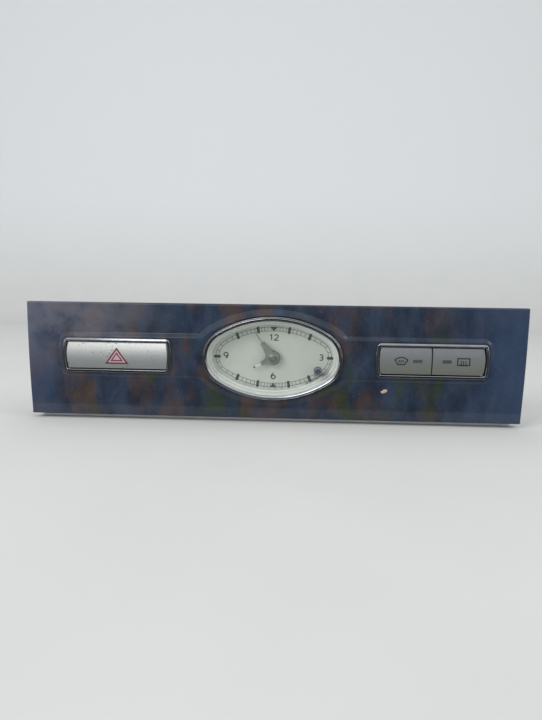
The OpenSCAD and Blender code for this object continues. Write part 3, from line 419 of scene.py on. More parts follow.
@dataclass
class Shape:
    """Collects the points and faces of one piece, in part millimetres."""

    verts: list = field(default_factory=list)
    faces: list = field(default_factory=list)

    def add(self, points: Points) -> list[int]:
        """Adds points.

        Args:
            points: The points.

        Returns:
            Their numbers.
        """
        start = len(self.verts)
        self.verts.extend(map(tuple, np.asarray(points, float).reshape(-1, 3)))
        return list(range(start, len(self.verts)))

    def loop(self, flat: Points, z: Any) -> list[int]:
        """Adds a loop of flat points at a level or at levels."""
        return self.add(np.column_stack([flat, np.broadcast_to(z, len(flat))]))

    def strip(self, a: Sequence[int], b: Sequence[int]) -> None:
        """Joins two loops of points with four-sided faces."""
        for i in range(len(a)):
            j = (i + 1) % len(a)
            self.faces.append((a[i], a[j], b[j], b[i]))

    def join(self, loops: Sequence[Sequence[int]]) -> None:
        """Joins loops in turn."""
        for a, b in zip(loops, loops[1:]):
            self.strip(a, b)

    def rings(self, loops: Sequence[Sequence[int]]) -> None:
        """Joins loops in turn and closes the first and last."""
        self.join(loops)
        self.faces += [tuple(loops[0]), tuple(loops[-1])]

    def slab(self, flat: Points, low: Any, high: Any) -> None:
        """Raises a flat shape from one level to another, or between levels along its edge."""
        self.rings([self.loop(flat, low), self.loop(flat, high)])

    def patch(self, outline: Points, holes: Sequence[Points], inner: Points, height: Height,
              inside: Height) -> tuple[list[int], list[list[int]]]:
        """Fills an outline with triangles at a height that varies.

        Args:
            outline: The outer loop.
            holes: Loops left open.
            inner: Points between them.
            height: Gives z for x and y.
            inside: Says which points belong to the patch.

        Returns:
            The numbers of the outer loop's points and of each hole's points.
        """
        loops = [outline, *holes]
        edges, start = [], 0
        for one in loops:
            n = len(one)
            edges += [(start + i, start + (i + 1) % n) for i in range(n)]
            start += n
        flat = [Vector(p) for p in np.concatenate([*loops, inner])]
        out, _, tris, origin, _, _ = delaunay_2d_cdt(flat, edges, [], 0, 1e-7)
        xy = np.array([tuple(p) for p in out])
        where = self.add(np.column_stack([xy, height(xy[:, 0], xy[:, 1])]))
        number = {old: where[i] for i, olds in enumerate(origin) for old in olds}
        corners = np.array(tris)
        middle = xy[corners].mean(1)
        for tri in corners[inside(middle[:, 0], middle[:, 1])]:
            self.faces.append(tuple(where[i] for i in tri))
        found, start = [], 0
        for one in loops:
            found.append([number[start + i] for i in range(len(one))])
            start += len(one)
        return found[0], found[1:]

    def sweep(self, path: Outline, profile: Sequence[Pair], x: float, step: float = 0.4) -> None:
        """Sweeps a closed profile round an outline on the middle line.

        Args:
            path: The outline.
            profile: Distances out and levels.
            x: The outline's place across the panel.
            step: Spacing of the points in millimetres.
        """
        shift = np.array([x, LINE_Y])
        loops = [self.loop(path.points(out, step) + shift, z) for out, z in profile]
        self.join(loops + loops[:1])

    def lathe(self, centre: Sequence[float], profile: Sequence[Pair], steps: int = 48) -> None:
        """Turns a profile of radius and z about an axis along z."""
        disc = circle(steps)
        self.rings([self.loop(np.array(centre) + disc * max(r, 1e-3), z) for r, z in profile])

    def tube(self, line: Points, r: float, sides: int = 12) -> None:
        """Runs a round wire along a line of points.

        Args:
            line: The wire's middle.
            r: Its radius.
            sides: Points round it.
        """
        ahead = np.gradient(line, axis=0)
        ahead /= np.linalg.norm(ahead, axis=1)[:, None]
        side = np.cross(ahead, np.array([0.0, 0.0, 1.0]))
        side /= np.linalg.norm(side, axis=1)[:, None]
        disc = circle(sides) * r
        up = np.cross(side, ahead)
        self.rings([self.add(p + disc @ np.stack([s, u])) for p, s, u in zip(line, side, up)])

    def object(self, name: str, angle: float = 35.0) -> bpy.types.Object:
        """Makes the mesh object, smooth except at sharp corners.

        Args:
            name: The piece's name.
            angle: Corners sharper than this, in degrees, stay sharp.

        Returns:
            The object in the shared frame.
        """
        mesh = bpy.data.meshes.new(name)
        mesh.from_pydata([tuple(p) for p in row(np.array(self.verts))], [], self.faces)
        work = bmesh.new()
        work.from_mesh(mesh)
        bmesh.ops.recalc_face_normals(work, faces=work.faces)
        work.to_mesh(mesh)
        work.free()
        mesh.shade_smooth()
        mesh.set_sharp_from_angle(angle=math.radians(angle))
        return link(name, mesh)


def level(z: float) -> Height:
    """Gives a height that is the same everywhere."""
    return lambda x, y: np.full(np.shape(x), z)


# Finishes


def linear(hex_colour: str) -> tuple[float, float, float, float]:
    """Turns an sRGB colour into linear light.

    Args:
        hex_colour: The colour, such as "#8090A0".

    Returns:
        Red, green, blue and full cover.
    """
    parts = [int(hex_colour[i:i + 2], 16) / 255 for i in (1, 3, 5)]
    light = [c / 12.92 if c <= 0.04045 else ((c + 0.055) / 1.055) ** 2.4 for c in parts]
    return (*light, 1.0)


def per_mm(size: float) -> float:
    """Gives a pattern's scale for a feature size in millimetres."""
    return 1.0 / (size * MM)


def add_node(tree: Tree, kind: str, feeds: dict | None = None, stops: Sequence[tuple[float, str]] = (),
             **settings: Any) -> bpy.types.Node:
    """Adds a node with its settings, and sets or links its sockets.

    Args:
        tree: The material's node tree.
        kind: The node's type, without the word ShaderNode.
        feeds: Values or outputs for its inputs, by name or number.
        stops: Places and colours, where the node has a colour ramp.
        settings: The node's own properties.

    Returns:
        The node.
    """
    node = tree.nodes.new("ShaderNode" + kind)
    for key, value in settings.items():
        setattr(node, key, value)
    for key, value in (feeds or {}).items():
        if isinstance(value, Socket):
            tree.links.new(value, node.inputs[key])
        else:
            node.inputs[key].default_value = value
    if stops:
        elements = node.color_ramp.elements
        while len(elements) < len(stops):
            elements.new(0.5)
        for element, (place, colour) in zip(elements, stops):
            element.position = place
            element.color = linear(colour)
    return node


@dataclass(frozen=True)
class Finish:
    """A moulded or painted surface: soft mottling in the colour and a fine grain in the relief."""

    name: str
    slot: str
    colour: str
    shade: str
    roughness: float = 0.5
    metallic: float = 0.0
    ior: float = 1.5
    mottle_mm: float = 6.0
    grain_mm: float = 0.4
    grain_depth_mm: float = 0.02
    spread: float = 0.08
    relief: float = 0.6

    def material(self) -> bpy.types.Material:
        """Makes the material, once.

        Returns:
            The material.
        """
        found = bpy.data.materials.get(self.name)
        if found:
            return found
        made = bpy.data.materials.new(self.name)
        made.use_nodes = True
        made.node_tree.nodes.clear()
        add_node(made.node_tree, "OutputMaterial", {"Surface": self.output(made.node_tree)})
        made.diffuse_color = linear(self.colour)
        return made

    def gloss(self, tree: Tree, pattern: Socket, start: float, end: float) -> Socket:
        """Gives a roughness that grows by the finish's spread along a pattern.

        Args:
            tree: The material's node tree.
            pattern: The pattern's strength.
            start: Strength at which the surface is smoothest.
            end: Strength at which it is roughest.

        Returns:
            The roughness.
        """
        return add_node(tree, "MapRange", {
            "Value": pattern, "From Min": start, "From Max": end,
            "To Min": self.roughness, "To Max": self.roughness + self.spread}).outputs["Result"]

    def surface(self, tree: Tree, place: Socket) -> dict[str, Any]:
        """Builds mottled colour, uneven gloss and a fine relief.

        Args:
            tree: The material's node tree.
            place: Where the patterns are read.

        Returns:
            What feeds the shader.
        """
        cloud = add_node(tree, "TexNoise", {
            "Vector": place, "Scale": per_mm(self.mottle_mm), "Detail": 4.0, "Roughness": 0.6}).outputs["Fac"]
        colour = add_node(tree, "ValToRGB", {"Fac": cloud}, [(0.3, self.shade), (0.7, self.colour)])
        grain = add_node(tree, "TexNoise", {
            "Vector": place, "Scale": per_mm(self.grain_mm), "Detail": 2.0})
        relief = add_node(tree, "Bump", {
            "Height": grain.outputs["Fac"], "Strength": self.relief, "Distance": self.grain_depth_mm * MM})
        return {
            "Base Color": colour.outputs["Color"], "Roughness": self.gloss(tree, cloud, 0.7, 0.3),
            "Metallic": self.metallic, "IOR": self.ior, "Normal": relief.outputs["Normal"]}

    def output(self, tree: Tree) -> Socket:
        """Builds the shader and gives its output."""
        place = add_node(tree, "TexCoord").outputs["Object"]
        return add_node(tree, "BsdfPrincipled", self.surface(tree, place)).outputs["BSDF"]

    def dress(self, piece: bpy.types.Object) -> None:
        """Puts the finish on a piece."""
        piece.data.materials.clear()
        piece.data.materials.append(self.material())


class Grain(Enum):
    """How a pattern lies in the veneer: even, drawn upright, or upright and wandering."""

    EVEN = 0
    UPRIGHT = 1
    WANDERING = 2


@dataclass(frozen=True)
class Fade:
    """A smooth change of strength along an axis of the frame, between two places in millimetres."""

    axis: str
    start: float
    end: float
    low: float
    high: float


@dataclass(frozen=True)
class Layer:
    """One colour of the veneer: a soft cloud of a real size, where it has a size, times its fades.

    The band holds the pattern's values at which the cloud begins and is full, and its full strength.
    """

    colour: str = ""
    shade: str = ""
    size_mm: float = 0.0
    seed: float = 0.0
    band: tuple[float, float, float] = (0.0, 1.0, 1.0)
    detail: float = 2.0
    grain: Grain = Grain.WANDERING
    fades: tuple[Fade, ...] = ()


@dataclass(frozen=True)
class LacqueredBurr(Finish):
    """Dark burr veneer under clear lacquer: soft upright clouds of slate blue and brown under a wet gloss,
    with painted reflections in some layers.
    """

    clouds: Layer = Layer(size_mm=9.0, band=(0.22, 0.78, 1.0), detail=3.0)
    layers: tuple[Layer, ...] = (
        # Brown figure, weaker towards the right end
        Layer("#4F403C", "#332A2B", 13.0, 2.3, (0.46, 0.68, 0.9), 3.0, fades=(Fade("X", 50, 90, 1.0, 0.2),)),
        # Olive tints, mostly low down and away from the ends: painted reflection of green surroundings in the
        # lacquer
        Layer("#353C1E", "", 17.0, 3.7, (0.52, 0.64, 0.6), fades=(
            Fade("Z", 46, 34, 0.15, 1.0), Fade("X", 76, 94, 1.0, 0.0), Fade("X", -80, -94, 1.0, 0.0))),
        # Bluer ends: painted reflection of blue surroundings in the lacquer
        Layer("#384863", fades=(Fade("X", 80, 112, 0.0, 0.5),)),
        Layer("#384863", fades=(Fade("X", -94, -114, 0.0, 0.5),)),
        # Pale pores of the wood
        Layer("#5F5856", "", 0.9, 6.4, (0.54, 0.85, 0.3), grain=Grain.UPRIGHT),
        # Pale haze at the upper left: painted reflection of the room in the lacquer
        Layer("#716E76", "", 15.0, 5.1, (0.25, 0.65, 0.9), 4.0, Grain.EVEN, (
            Fade("X", -40, -88, 0.0, 0.6), Fade("Z", 14, 46, 0.05, 1.0))),
    )
    upright: float = 0.6
    wander_mm: float = 8.0
    wander_size_mm: float = 16.0
    dust: str = "#A9ADB2"
    dust_mm: float = 3.4
    mote_edge: float = 0.055
    mote_core: float = 0.02
    mote_share: float = 0.45
    smear_mm: float = 14.0
    specular: float = 0.32

    def strength(self, tree: Tree, layer: Layer, places: dict[Grain, Socket]) -> Socket:
        """Gives a layer's strength over the panel.

        Args:
            tree: The material's node tree.
            layer: The layer.
            places: Where each kind of pattern is read.

        Returns:
            The strength.
        """
        found = 1.0
        if layer.size_mm:
            noise = add_node(tree, "TexNoise", {
                "Vector": places[layer.grain], "W": layer.seed, "Scale": per_mm(layer.size_mm),
                "Detail": layer.detail, "Roughness": 0.6}, noise_dimensions="4D")
            start, end, full = layer.band
            found = add_node(tree, "MapRange", {
                "Value": noise.outputs["Fac"], "From Min": start, "From Max": end, "To Max": full},
                interpolation_type="SMOOTHSTEP").outputs["Result"]
        for fade in layer.fades:
            axes = add_node(tree, "SeparateXYZ", {"Vector": places[Grain.EVEN]})
            step = add_node(tree, "MapRange", {
                "Value": axes.outputs[fade.axis], "From Min": fade.start * MM, "From Max": fade.end * MM,
                "To Min": fade.low, "To Max": fade.high}, interpolation_type="SMOOTHSTEP")
            found = add_node(tree, "Math", {
                0: found, 1: step.outputs["Result"]}, operation="MULTIPLY").outputs[0]
        return found

    def surface(self, tree: Tree, place: Socket) -> dict[str, Any]:
        """Builds slate clouds, the layers over them, motes of dust and the lacquer's gloss.

        Args:
            tree: The material's node tree.
            place: Where the patterns are read.

        Returns:
            What feeds the shader.
        """
        tall = add_node(tree, "Mapping", {
            "Vector": place, "Scale": (1.0, 1.0, self.upright)}).outputs["Vector"]
        warp = add_node(tree, "TexNoise", {
            "Vector": tall, "Scale": per_mm(self.wander_size_mm), "Detail": 2.0})
        wander = add_node(tree, "VectorMath", {
            0: warp.outputs["Color"], 1: (self.wander_mm * MM,) * 3, 2: tall}, operation="MULTIPLY_ADD")
        places = {Grain.EVEN: place, Grain.UPRIGHT: tall, Grain.WANDERING: wander.outputs[0]}
        clouds = self.strength(tree, self.clouds, places)
        base = add_node(tree, "ValToRGB", {"Fac": clouds}, [
            (0.0, self.shade), (1.0, self.colour)]).outputs["Color"]
        for layer in self.layers:
            top = linear(layer.colour)
            if layer.shade:
                top = add_node(tree, "ValToRGB", {"Fac": clouds}, [
                    (0.0, layer.shade), (1.0, layer.colour)]).outputs["Color"]
            base = add_node(tree, "Mix", {
                "Factor": self.strength(tree, layer, places), 6: base, 7: top}, data_type="RGBA").outputs[2]
        speck = add_node(tree, "TexVoronoi", {"Vector": place, "Scale": per_mm(self.dust_mm)})
        mote = add_node(tree, "MapRange", {
            "Value": speck.outputs["Distance"], "From Min": self.mote_edge, "From Max": self.mote_core,
            "To Max": self.mote_share})
        dusty = add_node(tree, "Mix", {
            "Factor": mote.outputs["Result"], 6: base, 7: linear(self.dust)}, data_type="RGBA")
        smear = add_node(tree, "TexNoise", {
            "Vector": place, "Scale": per_mm(self.smear_mm), "Detail": 4.0})
        return {
            "Base Color": dusty.outputs[2], "Roughness": self.gloss(tree, smear.outputs["Fac"], 0.35, 0.75),
            "Specular IOR Level": self.specular}


@dataclass(frozen=True)
class MetallicPaint(Finish):
    """Silver paint on a moulded cap: flakes that glint, painted shade that changes the tone of its lower
    half, and small dark specks of wear.

    Real flakes measure about 0.03 mm. They are drawn at 0.25 mm, so that they show.
    """

    grain_mm: float = 0.25
    grain_depth_mm: float = 0.01
    relief: float = 0.25
    # Tone of the cap's lower half, reached between the two levels below: painted shade, as the light falls
    # from above
    low: str = "#A4A8AA"
    painted_shade_from: float = 4.0
    painted_shade_to: float = -3.8
    speck: str = "#4E524F"
    speck_mm: float = 1.3
    speck_edge: float = 0.3
    speck_core: float = 0.16
    speck_patch_mm: float = 6.0
    patch_from: float = 0.5
    patch_full: float = 0.62
    speck_share: float = 0.75

    def surface(self, tree: Tree, place: Socket) -> dict[str, Any]:
        """Builds flaked colour with painted shade down the cap, worn specks and a satin gloss.

        Args:
            tree: The material's node tree.
            place: Where the patterns are read.

        Returns:
            What feeds the shader.
        """
        up = add_node(tree, "SeparateXYZ", {"Vector": place}).outputs["Z"]
        # Painted shade: the colour turns to the low tone down the cap
        drop = add_node(tree, "MapRange", {
            "Value": up, "From Min": (LINE_Y + self.painted_shade_from) * MM,
            "From Max": (LINE_Y + self.painted_shade_to) * MM}, interpolation_type="SMOOTHSTEP")
        flake = add_node(tree, "TexVoronoi", {"Vector": place, "Scale": per_mm(self.grain_mm)})
        flakes = add_node(tree, "ValToRGB", {"Fac": flake.outputs["Color"]}, [
            (0.0, self.shade), (1.0, self.colour)])
        paint = add_node(tree, "Mix", {
            "Factor": drop.outputs["Result"], 6: flakes.outputs["Color"], 7: linear(self.low)},
            data_type="RGBA")
        spot = add_node(tree, "TexVoronoi", {"Vector": place, "Scale": per_mm(self.speck_mm)})
        dot = add_node(tree, "MapRange", {
            "Value": spot.outputs["Distance"], "From Min": self.speck_edge, "From Max": self.speck_core})
        patch = add_node(tree, "TexNoise", {
            "Vector": place, "Scale": per_mm(self.speck_patch_mm), "Detail": 2.0})
        some = add_node(tree, "MapRange", {
            "Value": patch.outputs["Fac"], "From Min": self.patch_from, "From Max": self.patch_full,
            "To Max": self.speck_share})
        worn = add_node(tree, "Math", {
            0: dot.outputs["Result"], 1: some.outputs["Result"]}, operation="MULTIPLY")
        colour = add_node(tree, "Mix", {
            "Factor": worn.outputs[0], 6: paint.outputs[2], 7: linear(self.speck)}, data_type="RGBA")
        relief = add_node(tree, "Bump", {
            "Height": flake.outputs["Distance"], "Strength": self.relief,
            "Distance": self.grain_depth_mm * MM})
        return {
            "Base Color": colour.outputs[2], "Roughness": self.roughness, "Metallic": self.metallic,
            "Normal": relief.outputs["Normal"]}


@dataclass(frozen=True)
class PaintedShadeButton(Finish):
    """Moulded button with painted shade in its dish and a painted highlight on its raised ring."""

    # Paler colour of the raised ring: a painted highlight; the darker shade in the dish is painted shade
    ring: str = "#767D88"
    reach_mm: float = 2.0

    def surface(self, tree: Tree, place: Socket) -> dict[str, Any]:
        """Builds rings of colour about the button's axis, which paint shade and highlight, and a satin gloss.

        Args:
            tree: The material's node tree.
            place: Where the patterns are read.

        Returns:
            What feeds the shader.
        """
        flat = add_node(tree, "VectorMath", {0: place, 1: (1.0, 0.0, 1.0)}, operation="MULTIPLY")
        out = add_node(tree, "VectorMath", {
            0: flat.outputs[0], 1: (SET_X * MM, 0.0, SET_Y * MM)}, operation="DISTANCE")
        share = add_node(tree, "MapRange", {
            "Value": out.outputs["Value"], "From Max": self.reach_mm * MM})
        colour = add_node(tree, "ValToRGB", {"Fac": share.outputs["Result"]}, [
            (0.0, self.colour), (0.3, self.shade), (0.58, self.shade), (0.7, self.ring), (0.8, self.ring),
            (0.9, self.shade)])
        wear = add_node(tree, "TexNoise", {
            "Vector": place, "Scale": per_mm(self.mottle_mm), "Detail": 3.0})
        return {
            "Base Color": colour.outputs["Color"],
            "Roughness": self.gloss(tree, wear.outputs["Fac"], 0.35, 0.7)}


@dataclass(frozen=True)
class Polished(Finish):
    """Bright plating or turned metal: a mirror with a faint haze of handling."""

    def surface(self, tree: Tree, place: Socket) -> dict[str, Any]:
        """Builds the mirror with an uneven haze.

        Args:
            tree: The material's node tree.
            place: Where the patterns are read.

        Returns:
            What feeds the shader.
        """
        haze = add_node(tree, "TexNoise", {
            "Vector": place, "Scale": per_mm(self.mottle_mm), "Detail": 5.0,
            "Roughness": 0.65}).outputs["Fac"]
        colour = add_node(tree, "ValToRGB", {"Fac": haze}, [(0.35, self.colour), (0.8, self.shade)])
        return {
            "Base Color": colour.outputs["Color"], "Roughness": self.gloss(tree, haze, 0.35, 0.7),
            "Metallic": self.metallic}


@dataclass(frozen=True)
class ClearPlastic(Finish):
    """Clear acrylic or glass: lets the parts behind show, with a gloss of its own and a trace of wiping."""

    mottle_mm: float = 9.0

    def surface(self, tree: Tree, place: Socket) -> dict[str, Any]:
        """Builds clear matter with an uneven polish.

        Args:
            tree: The material's node tree.
            place: Where the patterns are read.

        Returns:
            What feeds the shader.
        """
        wipe = add_node(tree, "TexNoise", {
            "Vector": place, "Scale": per_mm(self.mottle_mm), "Detail": 4.0})
        return {
            "Base Color": linear(self.colour), "Roughness": self.gloss(tree, wipe.outputs["Fac"], 0.4, 0.8),
            "IOR": self.ior, "Transmission Weight": 1.0}

    def output(self, tree: Tree) -> Socket:
        """Lets the lamps and soft light through to what lies behind.

        Args:
            tree: The material's node tree.

        Returns:
            The clear shader, swapped for plain transparency where light passes.
        """
        shader = super().output(tree)
        path = add_node(tree, "LightPath")
        passes = add_node(tree, "Math", {
            0: path.outputs["Is Shadow Ray"], 1: path.outputs["Is Diffuse Ray"]}, operation="MAXIMUM")
        through = add_node(tree, "BsdfTransparent", {"Color": linear(self.colour)})
        mixed = add_node(tree, "MixShader", {
            0: passes.outputs[0], 1: shader, 2: through.outputs["BSDF"]})
        return mixed.outputs["Shader"]


@dataclass(frozen=True)
class Backdrop(Finish):
    """Matt painted board that is a little lighter where it rises behind the table."""

    wall: str = "#E7EAED"
    rise_m: float = 0.3

    def surface(self, tree: Tree, place: Socket) -> dict[str, Any]:
        """Builds the two tones with a soft change between them.

        Args:
            tree: The material's node tree.
            place: Where the patterns are read.

        Returns:
            What feeds the shader.
        """
        height = add_node(tree, "SeparateXYZ", {"Vector": place}).outputs["Z"]
        share = add_node(tree, "MapRange", {
            "Value": height, "From Min": 0.0, "From Max": self.rise_m}, interpolation_type="SMOOTHSTEP")
        cloud = add_node(tree, "TexNoise", {"Vector": place, "Scale": per_mm(self.mottle_mm)})
        table = add_node(tree, "ValToRGB", {"Fac": cloud.outputs["Fac"]}, [
            (0.3, self.shade), (0.7, self.colour)])
        colour = add_node(tree, "Mix", {
            "Factor": share.outputs["Result"], 6: table.outputs["Color"], 7: linear(self.wall)},
            data_type="RGBA")
        return {
            "Base Color": colour.outputs[2], "Roughness": self.roughness, "Specular IOR Level": 0.0}


# Lacquered wood is dark and deep with a wet gloss, and bare and dry where it is chipped
BURR = LacqueredBurr("lacquered_burr_veneer", "lacquered_burr", "#333F51", "#1D2634", 0.08, spread=0.06)
BARE_WOOD = Finish("bare_chipped_wood", "lacquered_burr", "#CDAE95", "#AE8A70", 0.7, mottle_mm=0.9,
                   grain_mm=0.2)

# Plating is a mirror, flake paint glints softly over painted shade down the caps, and the moulded ABS button
# is satin, with painted shade and highlight
CHROME = Polished("chrome_plated_abs", "bright_chrome", "#CCCED3", "#B4B7BE", 0.06, 1.0)
SILVER = MetallicPaint("silver_flake_paint", "silver_paint", "#D2D4D2", "#C2C5C4", 0.36, 0.5)
# The grey caps also turn to a low tone down the cap: painted shade
GREY_SILVER = MetallicPaint("grey_flake_paint", "grey_paint", "#8C9096", "#7C8087", 0.36, 0.5, low="#8A8E88",
                            speck_share=0.05)
SLATE = PaintedShadeButton("slate_moulded_abs", "slate_button", "#5C636D", "#474D57", 0.4, mottle_mm=1.5)

# Printed ink lies matt on the paint, with slightly uneven cover
RED_INK = Finish("red_sign_ink", "silver_paint", "#6B303F", "#5E2836", 0.45, mottle_mm=1, grain_mm=0.2)
PINK_INK = Finish("pink_sign_ink", "silver_paint", "#B2979F", "#A78B94", 0.45, mottle_mm=1, grain_mm=0.2)
SIGN_INK = Finish("dark_sign_ink", "grey_paint", "#1E211F", "#181B19", 0.5, mottle_mm=1, grain_mm=0.2)
DIAL_INK = Finish("grey_dial_ink", "dial_paint", "#4C5252", "#434949", 0.6)

# The dial's paints are pale and matt, and those of the hands are satin with a trace of metal
RING_PAINT = Finish("satin_white_abs", "dial_ring_paint", "#D2D3CF", "#CACBC8", 0.35, grain_depth_mm=0.006)
DIAL_PAINT = Finish("matt_dial_paint", "dial_paint", "#BBBDB7", "#B4B7B1", 0.6, grain_mm=0.25,
                    grain_depth_mm=0.006)
HAND_PAINT = Finish("grey_hand_paint", "hand_paint", "#7F847F", "#737873", 0.4, 0.2, mottle_mm=2,
                    grain_mm=0.15, grain_depth_mm=0.006)
CAP_PAINT = Finish("satin_hand_cap", "hand_paint", "#8B908B", "#7B807B", 0.2, 0.5, mottle_mm=2, grain_mm=0.15,
                   grain_depth_mm=0.004)
PALE_HAND = Finish("pale_hand_paint", "hand_paint", "#E2E5E0", "#D6DAD4", 0.4, mottle_mm=2)

# Acrylic and glass are clear, with a bright gloss at their edges
LENS = ClearPlastic("clear_acrylic_lens", "clear_lens", "#FBFDFC", "#FBFDFC", 0.015, ior=1.46, spread=0.03)
GUIDE = ClearPlastic("clear_acrylic_guide", "clear_guide", "#EEF3F0", "#EEF3F0", 0.08, ior=1.49, spread=0.1)
LAMP_GLASS = ClearPlastic("lamp_glass", "lamp_glass", "#F4F1E6", "#F4F1E6", 0.03, spread=0.05)

# Moulded plastics scatter the light softly, with faint clouds and a fine grain from the mould
CARRIER_ABS = Finish("grey_moulded_abs", "grey_carrier", "#C6C8CC", "#BBBDC2", 0.55)
CASE_ABS = Finish("black_moulded_abs", "black_case", "#26272A", "#1E1F21", 0.5)
BLACK_NYLON = Finish("black_glass_filled_nylon", "black_nylon", "#232427", "#1B1C1E", 0.55, grain_mm=0.3)
NYLON = Finish("natural_nylon", "white_nylon", "#DAD7CC", "#CBC8BC", 0.5)
SMOKED = Finish("smoked_polycarbonate", "smoked_window", "#4A4E4B", "#3E423F", 0.3)
EPOXY = Finish("black_moulded_epoxy", "component_plastic", "#2A2A2C", "#202022", 0.6)
HOLDER = Finish("green_lamp_holder", "holder_plastic", "#36573B", "#2C4931", 0.5)
SOCKET = Finish("natural_pbt", "natural_socket", "#D2CCB8", "#C4BDA8", 0.5)
BOARD = Finish("green_circuit_board", "green_board", "#2C6B3F", "#225634", 0.35, mottle_mm=3)

# Plated, stamped and turned metals shine, and are broken up by fine marks of their making
ZINC = Finish("zinc_plated_steel", "zinc_screws", "#B9BCC0", "#8F9398", 0.34, 1.0, mottle_mm=1.5)
SPRING_STEEL = Finish("spring_steel", "spring_steel", "#A9ABAD", "#84878A", 0.3, 1.0, mottle_mm=3)
BRASS_CONTACT = Finish("tinned_brass", "contact_brass", "#C2A263", "#A3854C", 0.3, 1.0, mottle_mm=2)
BRASS = Finish("grained_brass", "movement_brass", "#C9A65A", "#AE8C45", 0.28, 1.0, mottle_mm=2, grain_mm=0.2)
MAGNET = Finish("stamped_steel", "magnet_steel", "#8C8E92", "#75777B", 0.35, 1.0, mottle_mm=2)
COPPER = Finish("enamelled_copper", "copper_winding", "#B06A3B", "#8E5029", 0.3, 1.0, mottle_mm=1.5)

# The studio's cloth swallows light, and its table is plain matt paint
FELT = Finish("dark_felt", "", "#1C1D20", "#151618", 0.9)
FLOOR = Backdrop("pale_table_top", "", "#D2D3D2", "#CED0CF", 0.6, mottle_mm=60)


def place_piece(piece: bpy.types.Object, finish: Finish, part: Part, *nodes: str) -> None:
    """Dresses a piece, hangs it on its body and lets it stand for its nodes.

    Args:
        piece: The new object.
        finish: Its finish.
        part: The body it rides on.
        nodes: The nodes of the frame that it replaces.
    """
    finish.dress(piece)
    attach(piece, part.value)
    if nodes:
        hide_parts(*nodes)
    LOG.info("piece %s in %s", piece.name, finish.name)


# Sub-assemblies


